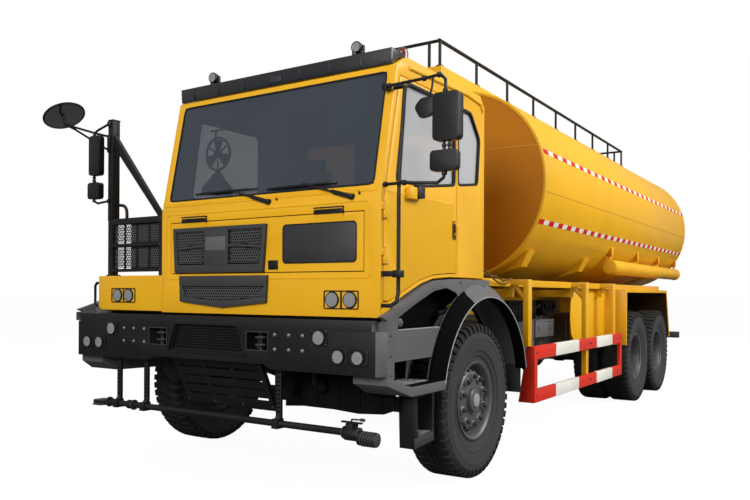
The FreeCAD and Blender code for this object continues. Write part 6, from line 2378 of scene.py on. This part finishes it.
# ---------------------------------------------------------------- tank
@dataclass(frozen=True)
class TankWork(Work):
    """Tank shell with rims, welds, reflective tape, walkway grating, hand rail and spray tubes."""

    repeat: Repeat
    half_width: float = 1750.0
    half_height: float = 1189.0
    middle: float = 2875.0
    front: float = -1661.0
    back: float = -9377.0
    top_radius: float = 3300.0
    side_radius: float = 3000.0
    corner_radius: float = 1070.0
    tube_y: float = 1575.0
    tube_z: float = 2035.0
    manhole_x: float = -5000.0
    side_weld_z: float = 2752.0
    head_weld_z: float = 3262.0
    tape_upper_z: float = 3196.0
    tape_lower_z: float = 2432.0

    def build(self) -> None:
        """Makes all pieces of the tank."""
        tank = Finishes.tank_enamel
        self.soften(
            "tank",
            tank,
            ease=6,
            name="tank_shell",
            # the heads take the darker enamel: painted shade
            lining=Finishes.head_enamel,
            lined=lambda middle, normal: abs(normal.x) > 0.9 and 1690 < middle.z < 4060,
        )
        self.soften("spray_tubes", tank, ease=5)
        self.soften("tank_saddles", tank, ease=3)
        self.soften("tank_subframe", tank, ease=4)
        self.soften("hand_rail", Finishes.powder, ease=1.5)
        self._seams(tank)
        self._tape()
        self._walkway()
        self._tubes()

    def section(self, grow: float = 0.0) -> Outline:
        """The tank's section grown by a depth, as points in y and z, anticlockwise."""
        top_mid, side_mid = self.half_height - self.top_radius, self.half_width - self.side_radius
        reach_top, reach_side = self.top_radius - self.corner_radius, self.side_radius - self.corner_radius
        gap = math.hypot(side_mid, top_mid)
        along = (gap * gap + reach_top**2 - reach_side**2) / (2 * gap)
        across = math.sqrt(reach_top**2 - along**2)
        ux, uz = side_mid / gap, -top_mid / gap
        cy, cz = along * ux + across * uz, top_mid + along * uz - across * ux
        upper, lower = math.atan2(cz - top_mid, cy), math.atan2(cz, cy - side_mid)
        quarter: Outline = []
        runs = (
            (side_mid, 0.0, self.side_radius, 0.0, lower),
            (cy, cz, self.corner_radius, lower, upper),
            (0.0, top_mid, self.top_radius, upper, math.pi / 2),
        )
        for (y, z, radius, start, end), each in zip(runs, (3, 36, 14)):
            for i in range(each):
                a = start + (end - start) * i / each
                quarter.append((y + (radius + grow) * math.cos(a), z + (radius + grow) * math.sin(a)))
        quarter.append((0.0, self.half_height + grow))
        half = quarter + [(-y, z) for y, z in reversed(quarter[:-1])]
        full = half + [(y, -z) for y, z in reversed(half[1:-1])]
        return [(y, z + self.middle) for y, z in full]

    def side_y(self, z: float, grow: float = 0.0) -> float:
        """How far the tank's side stands out at a height."""
        points = [p for p in self.section(grow) if p[0] > 0]
        points.sort(key=lambda p: p[1])
        for a, b in zip(points, points[1:]):
            if a[1] <= z <= b[1]:
                return a[0] + (b[0] - a[0]) * (z - a[1]) / (b[1] - a[1])
        return self.half_width

    def _seams(self, finish: Finish) -> None:
        """Makes the rolled rims of the heads, the welds along the shell and across the heads."""
        rims = self.shape()
        for x, way in ((self.front, 1), (self.back, -1)):
            low, high = sorted((x - 30 * way, x + 5 * way))
            rims.rim("yz", self.section(3), self.section(-26), low, high)
        rims.piece("tank_head_rims", finish, ease=2)
        welds = self.shape()
        for s in (1, -1):
            y = self.side_y(self.side_weld_z) * s
            welds.box(
                (self.back + 30, self.front - 30),
                sorted((y - 3 * s, y + 2 * s)),
                (self.side_weld_z - 5, self.side_weld_z + 5),
            )
        for x, way in ((self.front, 1), (self.back, -1)):
            y = self.side_y(self.head_weld_z) - 30
            welds.box(sorted((x - way, x + 2.2 * way)), (-y, y), (self.head_weld_z - 5, self.head_weld_z + 5))
        welds.piece("tank_welds", Finishes.weld, ease=0.6)

    def _tape(self) -> None:
        """Makes the red and white reflective blocks along both sides."""
        block, high = 156.0, 52.0
        for height, name in ((self.tape_upper_z, "upper"), (self.tape_lower_z, "lower")):
            for s, word in ((1, "left"), (-1, "right")):
                reds, whites = self.shape(), self.shape()
                x, number = self.front - 40, 0
                lines = [
                    (self.side_y(height + high * (k / 3 - 0.5), 1.0), height + high * (k / 3 - 0.5))
                    for k in range(4)
                ]
                while x - block > self.back + 30:
                    shape = reds if number % 2 == 0 else whites
                    shape.loft([
                        [(xx, y * s, z) for y, z in lines] + [
                            (xx, (y + 1.3) * s, z)
                            for y, z in reversed(lines)
                        ]
                        for xx in (x, x - block + 1.5)
                    ])
                    x -= block
                    number += 1
                reds.piece(f"tape_{name}_{word}_red", Finishes.red_tape)
                whites.piece(f"tape_{name}_{word}_white", Finishes.white_tape)

    def _walkway(self) -> None:
        """Makes the walkway's grating and coaming, the manhole's clamps and its lid."""
        bars = self.shape().box((-6, 6), (-540, 540), (0, 22))
        spots = [(x, 0, 4236.0) for x in range(-9340, -1510, 62) if not -5330 < x < -4690]
        self.repeat.spots("walkway_bars", bars, spots, Finishes.powder)
        rails = self.shape()
        for y in (-548, -280, 280, 548):
            rails.box((-9372, -1500), (y - 5, y + 5), (4226, 4260))
        rails.piece("walkway_bearers", Finishes.powder)
        self.soften("manhole_lid", Finishes.tank_enamel, "tank_lid", ease=5)
        lid = self.shape()
        lid.rim("xy", ring((self.manhole_x, 0), 286, 48), ring((self.manhole_x, 0), 268, 48), 4325, 4336)
        lid.tube([(-4900, -70, 4326), (-4900, -70, 4366), (-4900, 70, 4366), (-4900, 70, 4326)], 8, 20, 10)
        lid.lathe([(0, 0), (0, 60), (9, 58), (12, 40), (12, 0)], (-5080, 0, 4326), (0, 0, 1), 28)
        lid.piece("manhole_lid_details", Finishes.tank_enamel, "tank_lid", ease=2)
        clamps = self.shape()
        for i in range(6):
            a = math.radians(30 + 60 * i)
            c, sn = math.cos(a), math.sin(a)
            clamps.lathe(drum(52, 9), (self.manhole_x + 278 * c, 278 * sn, 4262), (0, 0, 1), 10)
        clamps.piece("manhole_studs", Finishes.casting)
        feet = self.shape()
        step = (-9355 + 1515) / 8
        for i in range(9):
            for s in (1, -1):
                x = -1515 + step * i
                feet.box((x - 34, x + 34), (530 * s - 34, 530 * s + 34), (4256, 4264))
        feet.piece("hand_rail_feet", Finishes.powder, ease=2)

    def _tubes(self) -> None:
        """Makes the caps, straps and couplings of the tubes along the tank."""
        shape = self.shape()
        for s in (1, -1):
            y = self.tube_y * s
            for x, way in ((-4740, 1), (-9300, -1)):
                shape.lathe(
                    [(-2, 0), (-2, 105), (-14, 111), (-26, 111), (-30, 105), (-30, 0)],
                    (x + 2 * way, y, self.tube_z),
                    (way, 0, 0),
                    40,
                )
                shape.lathe([(0, 0), (0, 96), (5, 88), (7, 0)], (x, y, self.tube_z), (way, 0, 0), 40)
            for x in (-5400, -7050, -8500):
                shape.lathe(band(-22, 22, 104, 108), (x, y, self.tube_z), (1, 0, 0), 40, True)
        shape.piece("spray_tube_caps", Finishes.tank_enamel, ease=1.5)


# ---------------------------------------------------------------- side gear
@dataclass(frozen=True)
class SideGear(Work):
    """Side beams, posts, sheets, guards with their stripes, mudguards and what hangs on the frame."""

    repeat: Repeat

    def build(self) -> None:
        """Makes all pieces of both sides."""
        tank = Finishes.tank_enamel
        self.soften("side_beams", tank, ease=4)
        self.soften(
            "rear_mudguards",
            tank,
            ease=5,
            lining=Finishes.under_wing,
            lined=lambda m, n: m.z > 905 and -7968 < m.x < -5055 and m.z < 1672 and abs(m.y) < 1744,
        )
        self.soften("rear_bumper", Finishes.chassis, ease=6)
        self.soften("side_tanks", Finishes.chassis, ease=22, steps=4)
        self.soften("engine_block", Finishes.casting, ease=24, steps=3)
        self.soften("ladder_frame", Finishes.chassis, ease=3)
        for node in ("leaf_springs", "front_axle", "rear_axles"):
            self.soften(node, Finishes.casting, ease=2.5)
        for side in Side:
            self.soften(f"steering_knuckle_{side.word}", Finishes.casting, f"steering_{side.word}", ease=3)
        self._guards()
        self._sheets(tank)
        self._hanging()

    def _guards(self) -> None:
        """Rounds the side guards and lays the white blocks of their stripes."""
        self.soften("side_guards", Finishes.red, ease=5)
        white = self.shape()
        for s in (1, -1):
            for x0, x1 in ((-2844, -2023), (-4305, -3577)):
                for z0, z1 in ((949, 1089), (494, 634)):
                    white.box((x0, x1), span(s, 1709, 1751.2), (z0 - 0.8, z1 + 0.8))
        white.piece("guard_white_blocks", Finishes.white, ease=3)
        bolt = self.shape().lathe(knob(10, 6, 8, 7), (0, 0, 0), (0, 1, 0), 8)
        spots = [(x, 1750, z) for x in (-1420, -3320, -3280, -4560, -4720) for z in (1019, 564)]
        self.repeat.spots("guard_bolts", bolt, spots, Finishes.casting)

    def _sheets(self, finish: Finish) -> None:
        """Makes the sheets behind the posts and the edge frames of the mudguards."""
        sheet = self.shape()
        outline = [
            (-5008, 905), (-3560, 1040), (-3470, 1120), (-3430, 1300), (-3440, 1540), (-3520, 1660),
            (-3640, 1712), (-5008, 1712),
        ]
        for s in (1, -1):
            sheet.prism("xz", outline[::-1], *span(s, 1440, 1446))
        sheet.piece("side_sheets", finish, ease=1)
        edge = self.shape()
        outer = [(-8014, 900), (-5010, 900), (-5010, 1715), (-7759, 1715)]
        inner = [(-7962, 900), (-5062, 900), (-5062, 1668), (-7724, 1668)]
        for s in (1, -1):
            for (a, b), (c, d) in zip(
                zip(outer[1:], outer[2:] + outer[:1]), zip(inner[1:], inner[2:] + inner[:1])
            ):
                edge.prism("xz", [a, b, d, c], *span(s, 1747, 1753))
        edge.piece("mudguard_edges", finish, ease=1.5)

    def _hanging(self) -> None:
        """Makes the cab's hoses, straps, battery cover, frame hardware, shields, flaps and bolts."""
        hoses = self.shape()
        for path, radius in (
            (
                [
                    (-186, 1610, 1960), (-330, 1625, 1880), (-520, 1630, 1800), (-800, 1600, 1735),
                    (-1120, 1540, 1745), (-1330, 1500, 1800),
                ],
                9,
            ),
            (
                [
                    (-186, 1590, 1880), (-400, 1600, 1812), (-640, 1600, 1816), (-900, 1580, 1770),
                    (-1330, 1490, 1796),
                ],
                8,
            ),
        ):
            hoses.tube(path, radius, 90, 10)
        hoses.piece("cab_hoses", Finishes.hose)
        straps = self.shape()
        for x in (-2600, -1850):
            straps.rim(
                "yz", round_rect((414, 1256), (754, 1336), 26), round_rect((420, 1250), (760, 1330), 22),
                x - 22, x + 22,
            )
        for x in (-4150, -3150):
            straps.rim(
                "yz", round_rect((414, 1156), (774, 1386), 26), round_rect((420, 1150), (780, 1380), 22),
                x - 22, x + 22,
            )
        straps.piece("tank_straps", Finishes.zinc, ease=1)
        boxes = self.shape()
        boxes.box((-3300, -2652), (1150, 1270), (1100, 1306))
        boxes.box((-3307, -2645), (1144, 1276), (1290, 1316))
        for x in (-3200, -2800):
            boxes.box((x, x + 60), (1268, 1282), (1190, 1250))
        boxes.piece("battery_cover", Finishes.moulding, ease=8)
        # near-black frame hardware under the tank: painted shade
        black = self.shape()
        black.box((-2600, -1780), (900, 1290), (1330, 1560))
        black.box((-2560, -1820), (940, 1300), (1380, 1500))
        for x in range(-2500, -1840, 90):
            black.box((x, x + 30), (1288, 1306), (1350, 1540))
        for y in (1180, 1240):
            black.tube(
                [(-1700, y, 1500), (-1300, y + 40, 1480), (-1180, y + 40, 1300), (-1190, y, 1120)],
                16,
                110,
                12,
            )
        black.box((-3420, -2980), (1000, 1240), (1390, 1560))
        black.tube([(-2980, 1200, 1470), (-2800, 1260, 1500), (-2650, 1240, 1440)], 20, 70, 12)
        for x in (-3360, -3200, -3060):
            black.lathe(knob(44, 30, 36, 30), (x, 1240, 1490), (0, 1, 0), 20)
        black.piece("frame_hardware", Finishes.sooty, ease=5)
        shields = self.shape()
        for s in (1, -1):
            shields.prism(
                "xz",
                [(-940, 900), (-700, 800), (1180, 790), (1290, 900), (1290, 1440), (-940, 1560)],
                *span(s, 880, 886),
            )
            for x in (-600, -150, 300, 750):
                shields.box((x, x + 24), span(s, 886, 896), (860, 1420))
        shields.piece("splash_shields", Finishes.chassis, ease=2)
        flaps = self.shape()
        for s in (1, -1):
            flaps.box((-1010, -1000), span(s, 1380, 1738), (648, 960))
        flaps.piece("mud_flaps", Finishes.rubber, ease=2)
        bolts = self.shape().lathe(knob(15, 9, 12, 11), (0, 0, 0), (0, 1, 0), 6)
        spots = [(x, 420, z) for x in range(-8900, 1200, 240) for z in (1110, 1300)]
        self.repeat.spots("rail_bolts", bolts, spots, Finishes.casting)


def main() -> None:
    """Builds the vehicle's looks in order and reports each piece."""
    logging.basicConfig(level=logging.INFO, format="%(name)s: %(message)s", stream=sys.stdout)
    frame = Frame()
    for name, slot in frame.slots.items():
        frame.dress(SLOT_FINISH[slot], name)
    frame.dress(Finishes.window, "left_door_glass")
    for name in (
        "tank", "manhole_lid", "spray_tubes", "tank_subframe", "tank_saddles", "side_beams",
        "rear_mudguards",
    ):
        frame.dress(Finishes.tank_enamel, name)
    repeat = Repeat(frame)
    mesh = Mesh(frame, repeat)
    Wheels(frame, repeat).build()
    Lamps(frame).build()
    FrontEnd(frame, repeat, mesh).build()
    Cab(frame).build()
    Wings(frame, repeat).build()
    MastAndMirrors(frame, repeat, mesh).build()
    TankWork(frame, repeat).build()
    SideGear(frame, repeat).build()
    Studio(frame).build()
    LOG.info("dressed %d nodes", len(frame.slots))


if __name__ == "__main__":
    main()
